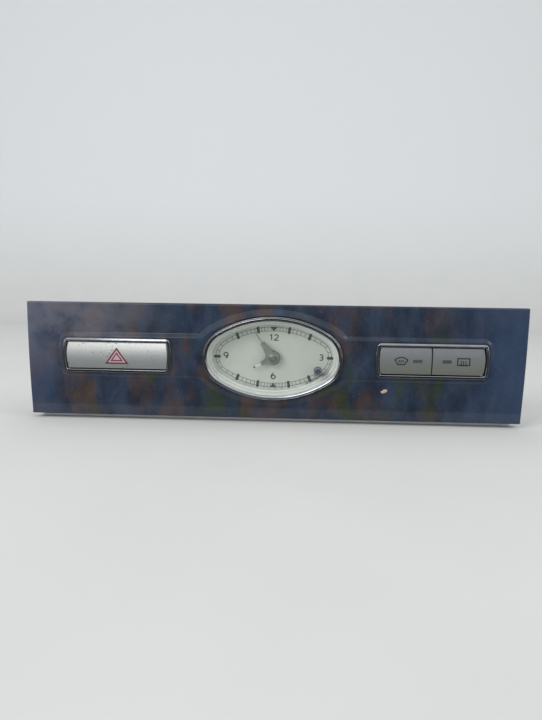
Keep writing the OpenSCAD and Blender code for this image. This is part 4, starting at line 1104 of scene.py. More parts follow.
@dataclass
class Fascia:
    """The lacquered panel with its crown, its raised belt and the collar round the clock."""

    top_w: float = 230.0
    low_w: float = 228.0
    low: float = 2.0
    high: float = 55.0
    depth: float = 6.0
    crown: float = 0.8
    corner: float = 0.6
    edge: float = 0.9
    rim: float = 2.2
    ceiling: float = 3.4
    belt_margin: float = 1.7
    belt_rise: float = 0.7
    belt_slope: float = 1.1
    collar_side: float = 5.6
    collar_w: float = 3.4
    collar_rise: float = 1.3
    collar_slope: float = 2.8
    opening_in: float = -0.6
    clock_gap: float = 0.35
    chip_x: float = 51.4
    chip_y: float = 16.2
    chip_lobes: tuple[tuple[float, float, float], ...] = ((0.35, 0.15, 0.95), (-0.75, -0.35, 0.75))
    chip_wave: float = 0.16
    chip_flat: float = 0.85
    chip_bed: float = 0.1
    chip_rise: float = 0.02
    edge_step: float = 0.7
    edge_rows: tuple[float, ...] = (0.03, 0.1, 0.2, 0.34, 0.5, 0.7, 0.9, 1.3)
    belt_step: float = 0.5
    belt_rows: tuple[float, float, int] = (-1.2, 1.2, 11)
    collar_step: float = 0.45
    collar_rows: tuple[float, float, int] = (-3.0, 0.2, 17)
    grid_step: float = 1.1
    grid_side: float = 1.0
    grid_low: float = 1.5
    grid_high: float = 1.2
    grid_clear: float = 1.5
    collar_clear: float = 1.9
    opening_clear: float = 0.15
    opening_step: float = 0.6
    clock_step: float = 0.5
    slope_step: float = 0.02
    plain_edge: float = 0.06

    def __post_init__(self) -> None:
        """Works out the outlines and the crown's radius."""
        self.face = self.depth + self.crown
        half = (self.high - self.low) / 2
        self.middle = (self.high + self.low) / 2
        self.crown_r = (half ** 2 + self.crown ** 2) / (2 * self.crown)
        self.outer = Outline.trapezium(self.top_w, self.low_w, self.low, self.high, self.corner)
        self.belt = Outline.barrel(
            2 * (SWITCH_X + self.belt_margin) + BEZEL_W, BEZEL_H + 2 * self.belt_margin, BEZEL_BOW,
            BEZEL_CORNER + self.belt_margin)
        self.collar = Outline.oval(
            CLOCK_W + 2 * self.collar_side, CLOCK_H + 2 * self.collar_w, CLOCK_END_R + self.collar_w)
        self.opening = Outline.barrel(BEZEL_W, BEZEL_H, BEZEL_BOW, BEZEL_CORNER)
        self.clock = Outline.oval(CLOCK_W, CLOCK_H, CLOCK_END_R)

    def height(self, x: Points, y: Points) -> Points:
        """Gives the front surface over the panel.

        Args:
            x: Places across.
            y: Heights.

        Returns:
            The surface's z.
        """
        z = self.face - self.crown_r + np.sqrt(self.crown_r ** 2 - (y - self.middle) ** 2)
        up = y - LINE_Y
        belt = smooth(0.5 - self.belt.distance(x, up) / (2 * self.belt_slope))
        z = z + (self.face + self.belt_rise - z) * belt
        collar = chamfer(-self.collar.distance(x, up) / self.collar_slope)
        z = z + (self.face + self.collar_rise - z) * collar
        return z - rolled(-self.outer.distance(x, y), self.edge)

    def from_openings(self, x: Points, y: Points) -> tuple[Points, Points]:
        """Gives how far points lie outside the openings.

        Args:
            x: Places across.
            y: Heights.

        Returns:
            Distances from the clock's opening and from the nearer switch's opening.
        """
        up = y - LINE_Y
        switch = self.opening.distance(np.abs(x) - SWITCH_X, up) - self.opening_in
        return self.clock.distance(x, up) - self.clock_gap, switch

    def on_panel(self, x: Points, y: Points, margin: float = 0.0) -> Points:
        """Says which points lie on the panel, outside its openings and a margin in from its edge."""
        clock, switch = self.from_openings(x, y)
        return (clock > 0) & (switch > 0) & (self.outer.distance(x, y) < -margin)

    def openings(self) -> list[Points]:
        """Gives the openings' edges.

        Returns:
            The loops of the two switch openings and the clock's opening.
        """
        switch = self.opening.points(self.opening_in, self.opening_step) + LINE
        shift = np.array([SWITCH_X, 0.0])
        return [switch - shift, switch + shift, self.clock.points(self.clock_gap, self.clock_step) + LINE]

    def front_points(self) -> Points:
        """Gives points that follow the forms of the front.

        Returns:
            Points along the edge, the belt and the collar, and a grid between them.
        """
        rows = [self.outer.points(-d, self.edge_step) for d in self.edge_rows]
        rows += [self.belt.points(d, self.belt_step) + LINE for d in np.linspace(*self.belt_rows)]
        rows += [self.collar.points(d, self.collar_step) + LINE for d in np.linspace(*self.collar_rows)]
        half = self.top_w / 2 - self.grid_side
        plain = grid(-half, half, self.low + self.grid_low, self.high - self.grid_high, self.grid_step)
        x, y = plain.T
        off_belt = np.abs(self.belt.distance(x, y - LINE_Y)) > self.grid_clear
        slope_middle = self.collar.distance(x, y - LINE_Y) + self.collar_slope / 2
        off_edge = self.outer.distance(x, y) < -self.grid_clear
        clear = off_belt & off_edge & (np.abs(slope_middle) > self.collar_clear)
        found = np.concatenate([*rows, plain[clear]])
        x, y = found.T
        near = np.minimum(*self.from_openings(x, y)) < self.opening_clear
        return found[self.on_panel(x, y, 0.01) & ~near]

    def build(self) -> None:
        """Builds the panel with its rim and hollow back."""
        shape = Shape()
        edge, inner_edge = (self.outer.points(out, self.edge_step) for out in (0.0, -self.rim))
        outer, holes = shape.patch(edge, self.openings(), self.front_points(), self.height, self.on_panel)
        front = len(shape.faces)
        back = shape.loop(edge, 0.0)
        shape.strip(outer, back)
        rim = shape.loop(inner_edge, 0.0)
        shape.strip(back, rim)
        roof, roof_holes = shape.patch(
            inner_edge, self.openings(), NO_POINTS, level(self.ceiling),
            lambda x, y: self.on_panel(x, y, self.rim))
        shape.strip(rim, roof)
        for a, b in zip(holes, roof_holes):
            shape.strip(a, b)
        piece = shape.object("lacquered_fascia", 40)
        self.polish(piece, front)
        place_piece(piece, BURR, Part.PANEL, "fascia_panel")
        self.build_chip()

    def build_chip(self) -> None:
        """Builds the small chip in the lacquer, where bare wood shows in two lobes."""
        shape = Shape()
        turn = np.linspace(0, 2 * math.pi, 18, endpoint=False)
        for dx, dy, r in self.chip_lobes:
            reach = r * (1 + self.chip_wave * np.sin(3 * turn + dx))
            x = self.chip_x + dx + reach * np.cos(turn)
            y = self.chip_y + dy + self.chip_flat * reach * np.sin(turn)
            z = self.height(x, y)
            shape.slab(np.stack([x, y], 1), z - self.chip_bed, z + self.chip_rise)
        place_piece(shape.object("bare_wood_chip"), BARE_WOOD, Part.PANEL)

    def polish(self, piece: bpy.types.Object, front: int) -> None:
        """Gives the front faces the true normals of the surface, so that the gloss runs smoothly.

        Args:
            piece: The panel.
            front: The number of faces on the front, which come first.
        """
        mesh = piece.data
        spots = np.empty(len(mesh.vertices) * 3)
        mesh.vertices.foreach_get("co", spots)
        x, _, y = spots.reshape(-1, 3).T / MM
        d = self.slope_step
        slope_x = (self.height(x + d, y) - self.height(x - d, y)) / (2 * d)
        slope_y = (self.height(x, y + d) - self.height(x, y - d)) / (2 * d)
        normal = np.stack([-slope_x, -np.ones_like(x), -slope_y], 1)
        normal /= np.linalg.norm(normal, axis=1)[:, None]
        normal[-self.outer.distance(x, y) < self.plain_edge] = 0.0
        corner = np.empty(len(mesh.loops), int)
        mesh.loops.foreach_get("vertex_index", corner)
        last = mesh.polygons[front].loop_start
        wanted = np.zeros((len(mesh.loops), 3))
        wanted[:last] = normal[corner[:last]]
        mesh.normals_split_custom_set([tuple(n) for n in wanted])


@dataclass
class Switch:
    """One switch: its chrome frame, and the crown that its caps share."""

    x: float
    band: float = 1.3
    fall: float = 0.13
    roll: float = 0.25
    gap: float = 0.45
    seat: float = 7.5
    proud: float = 1.0
    neck: float = 3.5
    neck_in: float = 0.75
    cap_front: float = 8.25
    cap_crown: float = 0.8

    def __post_init__(self) -> None:
        """Works out the outline and the caps' crown."""
        self.path = Outline.barrel(BEZEL_W, BEZEL_H, BEZEL_BOW, BEZEL_CORNER)
        self.inset = -self.band - self.gap
        self.cap_half = BEZEL_H / 2 + self.inset
        self.crown_r = (self.cap_half ** 2 + self.cap_crown ** 2) / (2 * self.cap_crown)

    def crown(self, y: Points) -> Points:
        """Gives a cap's z at a height on the panel."""
        return self.cap_front - self.crown_r + np.sqrt(self.crown_r ** 2 - (y - LINE_Y) ** 2)

    def build_frame(self, name: str, node: str) -> None:
        """Builds the chrome frame: two rolled edges and a band between them that falls away outwards.

        Args:
            name: The piece's name.
            node: The node that it stands for.
        """
        top, r = self.seat + self.proud, self.roll
        outer = arc_line(-r, top - self.fall - r, r, 0, 90, 6)
        slope = [(-r - (self.band - 2 * r) * s, top - self.fall * (1 - s)) for s in (0.25, 0.5, 0.75)]
        inner = arc_line(r - self.band, top - r, r, 90, 180, 6)
        shape = Shape()
        shape.sweep(self.path, [
            (-self.neck_in, self.neck), (-self.neck_in, self.seat), (0.0, self.seat), *outer, *slope, *inner,
            (-self.band, self.neck)], self.x, 0.35)
        place_piece(shape.object(name, 50), CHROME, Part.PANEL, node)


@dataclass
class Cap:
    """A crowned cap of a switch, as a shell with rounded edges; a half has a window and a stem."""

    switch: Switch
    side: Side
    whole_back: float = 0.6
    half_back: float = 0.1
    split: float = 0.5
    edge: float = 0.35
    edge_rows: tuple[float, ...] = (0.02, 0.06, 0.12, 0.2, 0.28, 0.36, 0.6)
    wall: float = 1.4
    floor: float = 5.05
    window_x: float = 6.525
    window_w: float = 4.2
    window_h: float = 1.5
    window_bow: float = 0.02
    window_corner: float = 0.3
    window_step: float = 0.25
    window_clear: float = 0.15
    grid_step: float = 0.9
    grid_inset: float = 0.8
    stem_x: float = 11.925
    stem_r: float = 2.5
    flange_r: float = 4.4
    flange_back: float = -6.5
    flange_t: float = 1.2
    nose_r: float = 1.2

    def reach(self, x: Points, y: Points) -> Points:
        """Gives the signed distance of points from the cap's edge.

        Args:
            x: Places across.
            y: Heights.

        Returns:
            Distances, negative on the cap.
        """
        x = x - self.switch.x
        out = self.switch.path.distance(x, y - LINE_Y) - self.switch.inset
        return np.maximum(out, self.split / 2 - self.side.value * x) if self.side.value else out

    def height(self, x: Points, y: Points) -> Points:
        """Gives the cap's front surface, which rolls over at the edge."""
        return self.switch.crown(y) - rolled(-self.reach(x, y), self.edge)

    def ring(self, inset: float) -> Points:
        """Gives the cap's outline at a distance in from its edge.

        Args:
            inset: The distance.

        Returns:
            The loop, with a straight side where the cap is a half.
        """
        loop = self.switch.path.points(self.switch.inset - inset, 0.4)
        side = self.side.value
        if side:
            limit = self.split / 2 + inset
            loop = loop[side * loop[:, 0] > limit + 0.05]
            jump = int(np.argmax(np.linalg.norm(np.roll(loop, -1, 0) - loop, axis=1)))
            top = self.switch.cap_half - inset
            cut = [(side * limit, side * y) for y in np.linspace(top, -top, 24)]
            loop = np.concatenate([np.roll(loop, -1 - jump, 0), cut])
        return loop + np.array([self.switch.x, LINE_Y])

    def on_cap(self, x: Points, y: Points, inset: float = 0.0, margin: float = 0.0) -> Points:
        """Says which points lie on the cap.

        Args:
            x: Places across.
            y: Heights.
            inset: Distance in from the cap's edge.
            margin: Distance out from the window.

        Returns:
            True for the points on the cap and outside its window.
        """
        on = self.reach(x, y) < -inset
        if self.side.value:
            across = np.abs(x - self.switch.x - self.side.value * self.window_x)
            on &= (across > self.window_w / 2 + margin) | (np.abs(y - LINE_Y) > self.window_h / 2 + margin)
        return on

    def stem(self, node: str) -> list[Pair]:
        """Gives the profile of the stem that a half cap presses its switch with.

        Args:
            node: The node whose reach the stem keeps.

        Returns:
            Radii and levels.
        """
        flange_front = self.flange_back + self.flange_t
        return [
            (self.nose_r, part_z(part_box(node)[1].y)), (self.nose_r, self.flange_back),
            (self.flange_r, self.flange_back), (self.flange_r, flange_front), (self.stem_r, flange_front),
            (self.stem_r, self.floor),
        ]

    def build(self, name: str, node: str, finish: Finish, part: Part) -> None:
        """Builds the cap.

        Args:
            name: The piece's name.
            node: The node that it stands for.
            finish: Its finish.
            part: The body it rides on.
        """
        x, side = self.switch.x, self.side.value
        shape, holes, back = Shape(), [], self.whole_back
        if side:
            window = Outline.barrel(self.window_w, self.window_h, self.window_bow, self.window_corner)
            spot = np.array([x + side * self.window_x, LINE_Y])
            holes = [window.points(0, self.window_step) + spot]
            back = self.half_back
            shape.lathe((x + side * self.stem_x, LINE_Y), self.stem(node), 32)
        w, h = BEZEL_W / 2, BEZEL_H / 2
        plain = grid(x - w, x + w, LINE_Y - h, LINE_Y + h, self.grid_step)
        plain = plain[self.reach(*plain.T) < -self.grid_inset]
        inner = np.concatenate([*(self.ring(d) for d in self.edge_rows), plain])
        inner = inner[self.on_cap(*inner.T, margin=self.window_clear)]
        edge, wall = self.ring(0.0), self.ring(self.wall)
        outer, open_ = shape.patch(edge, holes, inner, self.height, self.on_cap)
        low, low_holes = shape.patch(
            edge, [wall], NO_POINTS, level(back), lambda px, py: self.reach(px, py) > -self.wall)
        roof, roof_holes = shape.patch(
            wall, holes, NO_POINTS, level(self.floor), lambda px, py: self.on_cap(px, py, self.wall))
        shape.strip(outer, low)
        shape.strip(low_holes[0], roof)
        for a, b in zip(open_, roof_holes):
            shape.strip(a, b)
        place_piece(shape.object(name, 40), finish, part, node)


@dataclass(frozen=True)
class Waves:
    """Three rising waves of heat with arrow heads, side by side in a sign."""

    pitch: float
    low: float
    high: float
    line: float
    head: float
    head_l: float = 1.3
    head_bed: float = 0.05
    sway: float = 0.13

    def shapes(self) -> list[Points]:
        """Draws the waves.

        Returns:
            Their flat shapes.
        """
        found, share = [], np.linspace(0, 1, 9)
        foot = self.high - self.head_bed
        tip = foot + self.head_l * self.head
        for x in (-self.pitch, 0.0, self.pitch):
            wave = [(x + self.sway * math.sin(2 * math.pi * s), self.low + (self.high - self.low) * s)
                    for s in share]
            found += stroke(wave, self.line)
            found.append(np.array([(x - self.head, foot), (x + self.head, foot), (x, tip)]))
        return found


@dataclass
class Signs:
    """Printed signs on the caps: the warning triangle and the two heated screens."""

    ink: float = 0.03
    bed: float = 0.05
    line: float = 0.48
    sign_x: float = 13.9
    front_top: tuple[float, float, float] = (2.85, 0.5, 1.2)
    front_low: tuple[float, float, float] = (1.5, -1.65, 0.15)
    front_waves: Waves = Waves(0.85, -0.6, 0.35, 0.336, 0.26)
    rear_half: float = 2.65
    rear_low: float = -1.4
    rear_high: float = 1.6
    rear_waves: Waves = Waves(1.05, -1.9, 0.45, 0.36, 0.28)
    triangle_w: float = 11.1
    triangle_h: float = 7.7
    triangle_low: float = -3.95
    middle_inset: float = 1.86
    bands: tuple[tuple[str, float, float, Finish], ...] = (
        ("outer", 0.36, 0.72, RED_INK), ("pale", 1.0, 0.6, PINK_INK), ("inner", 1.58, 0.6, RED_INK))

    def lay(self, name: str, shapes: Iterable[Points], switch: Switch, middle: float, finish: Finish,
            part: Part) -> None:
        """Lays flat shapes on a cap's crown.

        Args:
            name: The piece's name.
            shapes: Flat shapes about the sign's middle.
            switch: The switch that carries the sign.
            middle: The sign's place across the switch.
            finish: The ink.
            part: The body it rides on.
        """
        shape = Shape()
        for flat in shapes:
            spot = flat + np.array([switch.x + middle, LINE_Y])
            z = switch.crown(spot[:, 1])
            shape.slab(spot, z - self.bed, z + self.ink)
        place_piece(shape.object(name), finish, part)

    def triangle(self, inset: float) -> list[Pair]:
        """Gives the warning triangle's corners, moved inwards from its outer edge.

        Args:
            inset: The distance inwards.

        Returns:
            The left, right and top corner.
        """
        w, h, low = self.triangle_w, self.triangle_h, self.triangle_low
        round_r = w * h / (w + 2 * math.hypot(w / 2, h))
        share = 1 - inset / round_r
        middle = low + round_r
        corners = ((-w / 2, low), (w / 2, low), (0, low + h))
        return [(x * share, middle + (y - middle) * share) for x, y in corners]

    def strips(self, corners: Sequence[Pair], count: int = 8) -> list[Points]:
        """Cuts a triangle that stands on its base into level strips, which follow the cap's crown.

        Args:
            corners: The left, right and top corner.
            count: How many strips.

        Returns:
            The strips from the base upwards.
        """
        left, right, top = np.array(corners)
        cuts = np.linspace(0, 0.98, count + 1)[:, None]
        a, b = left + (top - left) * cuts, right + (top - right) * cuts
        return [np.array([a[i], b[i], b[i + 1], a[i + 1]]) for i in range(count)]

    def front_screen(self) -> list[Points]:
        """Draws the bowed windscreen with its waves, from half widths, end levels and bows.

        Returns:
            Its flat shapes.
        """
        half, end, bow = self.front_top
        top = [(half * s, end + bow * (1 - s * s)) for s in np.linspace(-1, 1, 11)]
        half, end, bow = self.front_low
        low = [(half * s, end + bow * (1 - s * s)) for s in np.linspace(1, -1, 7)]
        return stroke(top + low, self.line, closed=True) + self.front_waves.shapes()

    def rear_screen(self) -> list[Points]:
        """Draws the square rear window with waves that rise through it.

        Returns:
            Its flat shapes.
        """
        w, low, high = self.rear_half, self.rear_low, self.rear_high
        window = [(-w, low), (w, low), (w, high), (-w, high)]
        return stroke(window, self.line, closed=True) + self.rear_waves.shapes()

    def build(self, hazard: Switch, screen: Switch) -> None:
        """Prints the signs on the three caps.

        Args:
            hazard: The hazard switch.
            screen: The switch with the two screen caps.
        """
        for name, inset, width, ink in self.bands:
            lines = stroke(self.triangle(inset), width, True)
            self.lay("hazard_triangle_" + name, lines, hazard, 0.0, ink, Part.HAZARD)
        middle = self.strips(self.triangle(self.middle_inset))
        self.lay("hazard_triangle_middle", middle, hazard, 0.0, PINK_INK, Part.HAZARD)
        front, rear = self.front_screen(), self.rear_screen()
        self.lay("front_screen_sign", front, screen, -self.sign_x, SIGN_INK, Part.FRONT_SCREEN)
        self.lay("rear_screen_sign", rear, screen, self.sign_x, SIGN_INK, Part.REAR_SCREEN)


@dataclass
class Coil:
    """A wound compression spring with closed ends."""

    node: str
    joint: str
    travel: float
    wire: float
    turns: float
    closed: float = 0.75
    closed_rise: float = 0.85
    steps_per_turn: int = 40

    def build(self) -> None:
        """Builds the spring in its node's place."""
        low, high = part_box(self.node)
        cx, cy = (low.x + high.x) / 2 / MM, (low.z + high.z) / 2 / MM
        back, front = part_z(high.y), part_z(low.y)
        r = (high.x - low.x) / 2 / MM - self.wire / 2
        total, end = self.turns + 2, self.closed
        turn = np.linspace(0, total, int(self.steps_per_turn * total))
        ends = np.clip(turn / end, 0, 1) + np.clip((turn - total + end) / end, 0, 1)
        open_ = np.clip((turn - end) / (total - 2 * end), 0, 1)
        end_rise = self.wire * self.closed_rise
        length = front - back
        z = back + self.wire / 2 + ends * end_rise + open_ * (length - self.wire - 2 * end_rise)
        a = 2 * math.pi * turn
        shape = Shape()
        shape.tube(np.stack([cx + r * np.cos(a), cy + r * np.sin(a), z], 1), self.wire / 2)
        piece = shape.object("wound_" + self.node)
        place_piece(piece, SPRING_STEEL, Part.PANEL, self.node)
        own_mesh(piece)


@dataclass
class ClockFront:
    """The clock's front: chrome rim, domed lens and the stepped ring between lens and dial."""

    lip: float = 1.9
    front: float = 10.0
    rim_back: float = 3.2
    rim_wall: float = 0.9
    bead_r: float = 0.25
    bead_drop: float = 0.35
    groove: tuple[Pair, ...] = ((-0.3, 0.12), (-0.36, 0.42), (-0.5, 0.42), (-0.56, 0.12))
    face: tuple[Pair, ...] = ((-0.62, 0.06), (-0.8, 0.0), (-1.0, 0.02), (-1.3, 0.1), (-1.56, 0.24))
    turn_r: float = 0.2
    turn_drop: float = 0.6
    lens_back: float = 7.3
    lens_front: float = 9.0
    lens_out: float = -1.05
    lens_gap: float = 0.15
    dome_r: float = 420.0
    hole_r: float = 2.2
    lens_step: float = 0.5
    grid_step: float = 1.2
    grid_clear: float = 0.6
    hole_clear: float = 0.45
    dial_front: float = 2.2
    ring_out: float = -2.35
    ring_w: float = 2.3
    ring_lip: float = 0.4
    ring_edge: float = 0.35
    ring_steps: int = 2
    ring_soft: float = 0.06
    ring_riser: Pair = (0.3, 0.3)
    ring_groove: tuple[Pair, ...] = ((0.32, -0.1), (0.44, -0.1), (0.46, 0.0))
    ring_nose: float = 0.04

    def __post_init__(self) -> None:
        """Works out the outline and the dome's peak."""
        self.path = Outline.oval(CLOCK_W, CLOCK_H, CLOCK_END_R)
        self.clear = self.lens_gap + self.lip
        self.peak = self.lens_front + (CLOCK_W / 2 - self.lip) ** 2 / (2 * self.dome_r)

    def build_rim(self) -> None:
        """Builds the chrome rim: a rolled bead, a groove and a bead that turns in over the lens."""
        f, wall = self.front, self.rim_wall
        bead = arc_line(-self.bead_r, f - self.bead_drop, self.bead_r, 0, 90, 6)
        face = [(out, f - drop) for out, drop in self.groove + self.face]
        turn_in = arc_line(self.turn_r - self.lip, f - self.turn_drop, self.turn_r, 90, 180, 6)
        shape = Shape()
        shape.sweep(self.path, [
            (0.0, self.rim_back), *bead, *face, *turn_in, (-self.lip, f - wall), (-wall, f - wall),
            (-wall, self.rim_back)], 0.0)
        place_piece(shape.object("chrome_clock_rim", 50), CHROME, Part.PANEL, "clock_bezel")

    def dome(self, x: Points, y: Points) -> Points:
        """Gives the lens's front surface."""
        return self.peak - self.dome_r + np.sqrt(self.dome_r ** 2 - x ** 2 - (y - LINE_Y) ** 2)

    def on_lens(self, x: Points, y: Points, margin: float = 0.0, hole_margin: float = 0.0) -> Points:
        """Says which points lie on the lens inside the rim and outside the set button's hole."""
        hole = np.hypot(x - SET_X, y - SET_Y) > self.hole_r + hole_margin
        return hole & (self.path.distance(x, y - LINE_Y) < -self.clear - margin)

    def build_lens(self) -> None:
        """Builds the domed lens with its hole for the set button."""
        hole = circle(48) * self.hole_r + np.array([SET_X, SET_Y])
        w, h = CLOCK_W / 2, CLOCK_H / 2
        plain = grid(-w, w, LINE_Y - h, LINE_Y + h, self.grid_step)
        plain = plain[self.on_lens(*plain.T, self.grid_clear, self.hole_clear)]
        edge, wide = (self.path.points(out, self.lens_step) + LINE for out in (-self.clear, self.lens_out))
        shape = Shape()
        outer, holes = shape.patch(edge, [hole], plain, self.dome, self.on_lens)
        low, low_holes = shape.patch(edge, [hole], plain, level(self.lens_back), self.on_lens)
        step, shelf = shape.loop(edge, self.lens_front), shape.loop(wide, self.lens_front)
        shape.join([outer, step, shelf, shape.loop(wide, self.lens_back), low])
        shape.strip(holes[0], low_holes[0])
        place_piece(shape.object("domed_lens", 40), LENS, Part.PANEL, "clock_lens")

    def build_ring(self) -> None:
        """Builds the pale ring that steps down from the lens to the dial, with a groove at each foot."""
        top, out = self.lens_back, self.ring_out
        profile = [
            (out, self.dial_front), (out, top - self.ring_lip), (self.lens_out, top - self.ring_lip),
            (self.lens_out, top), (out - self.ring_edge, top),
        ]
        drop = (top - self.dial_front) / self.ring_steps
        tread = (self.ring_w - self.ring_edge) / self.ring_steps
        for i in range(self.ring_steps):
            edge, head = out - self.ring_edge - tread * i, top - drop * i
            foot = head - drop
            profile += [
                (edge - self.ring_soft, head - self.ring_soft),
                *((edge - inset, foot + rise) for inset, rise in (self.ring_riser, *self.ring_groove)),
                (edge - tread + self.ring_nose, foot),
            ]
        profile[-1] = (out - self.ring_w, self.dial_front)
        shape = Shape()
        shape.sweep(self.path, profile, 0.0)
        place_piece(shape.object("stepped_dial_ring", 50), RING_PAINT, Part.PANEL, "dial_ring")

    def build(self) -> None:
        """Builds the clock's front from the rim inwards."""
        self.build_rim()
        self.build_lens()
        self.build_ring()


@dataclass
class DialPrint:
    """The print on the dial: a double track with minute ticks, hour marks and four figures."""

    front: float = 2.2
    ink: float = 0.03
    bed: float = 0.02
    shift: float = 0.25
    track: tuple[float, float, float] = (53.6, 28.0, 8.4)
    inner_track: tuple[float, float, float] = (50.9, 24.3, 7.1)
    track_line: float = 0.22
    inner_line: float = 0.2
    tick_line: float = 0.25
    tick_share: float = 0.42
    bar_l: float = 3.3
    bar_w: float = 1.35
    wedge_half: float = 1.4
    wedge_from: float = 0.1
    wedge_to: float = 2.2
    figure_h: float = 2.75
    figure_stretch: float = 1.2
    figure_pitch: float = 0.86
    figure_line: float = 0.54
    figures: tuple[tuple[str, float, float], ...] = (
        ("12", 0.0, 9.2), ("3", 22.1, 0.3), ("6", 0.0, -8.7), ("9", -22.1, 0.5))

    def track_point(self, path: Outline, turn: float) -> tuple[Points, Points]:
        """Finds where a direction from the middle meets an oval, and the oval's normal there.

        Args:
            path: The oval.
            turn: Clock direction in degrees, 0 at the top.

        Returns:
            The point and the outward normal.
        """
        ahead = towards(turn)
        low, high = 1.0, CLOCK_W
        for _ in range(50):
            mid = (low + high) / 2
            low, high = (mid, high) if path.distance(*(ahead * mid)) < 0 else (low, mid)
        spot, d = ahead * low, 0.05
        gap = path.distance(spot[0] + np.array([d, -d, 0, 0]), spot[1] + np.array([0, 0, d, -d]))
        slope = np.array([gap[0] - gap[1], gap[2] - gap[3]])
        return spot, slope / np.linalg.norm(slope)

    def bar(self, middle: Points, along: Points) -> Points:
        """Gives an hour's bar with rounded ends.

        Args:
            middle: The bar's middle.
            along: Its direction.

        Returns:
            Its outline.
        """
        side = np.array([-along[1], along[0]])
        turn = np.linspace(-math.pi / 2, math.pi / 2, 7)
        r = self.bar_w / 2
        half = self.bar_l / 2 - r
        end = [along * (half + r * math.cos(t)) + side * r * math.sin(t) for t in turn]
        return np.array([middle + p for p in end] + [middle - p for p in end])

    def marks(self) -> list[Points]:
        """Draws the double track, its ticks, the hours' bars and the wedges at 12 and 6.

        Returns:
            Their flat shapes.
        """
        outer, inner = Outline.oval(*self.track), Outline.oval(*self.inner_track)
        shapes = stroke(outer.points(), self.track_line, True) + stroke(inner.points(), self.inner_line, True)
        for minute in range(60):
            a, _ = self.track_point(outer, minute * 6.0)
            b, normal = self.track_point(inner, minute * 6.0)
            middle = (a + b) / 2
            if minute % 30 == 0:
                sign = 1.0 if minute == 0 else -1.0
                base, tip = a[1] - self.wedge_from * sign, a[1] - self.wedge_to * sign
                shapes.append(np.array([(-self.wedge_half, base), (self.wedge_half, base), (0, tip)]))
            elif minute % 5 == 0:
                shapes.append(self.bar(middle, normal))
            else:
                reach = normal * float(np.linalg.norm(a - b)) * self.tick_share
                shapes += stroke([middle - reach, middle + reach], self.tick_line)
        return shapes

    def numbers(self) -> list[Points]:
        """Draws the four figures.

        Returns:
            The pieces of their strokes.
        """
        shapes = []
        size = np.array([self.figure_stretch, 1.0]) * self.figure_h
        for text, x, y in self.figures:
            for i, digit in enumerate(text):
                along = (i - (len(text) - 1) / 2) * self.figure_h * self.figure_pitch
                middle = np.array([x + along, y])
                for line, closed in figure(digit):
                    shapes += stroke(np.array(line) * size + middle, self.figure_line, closed)
        return shapes

    def build(self) -> None:
        """Prints all the marks as one piece."""
        shape = Shape()
        for flat in self.marks() + self.numbers():
            shape.slab(flat + np.array([self.shift, LINE_Y]), self.front - self.bed, self.front + self.ink)
        place_piece(shape.object("dial_print"), DIAL_INK, Part.PANEL)


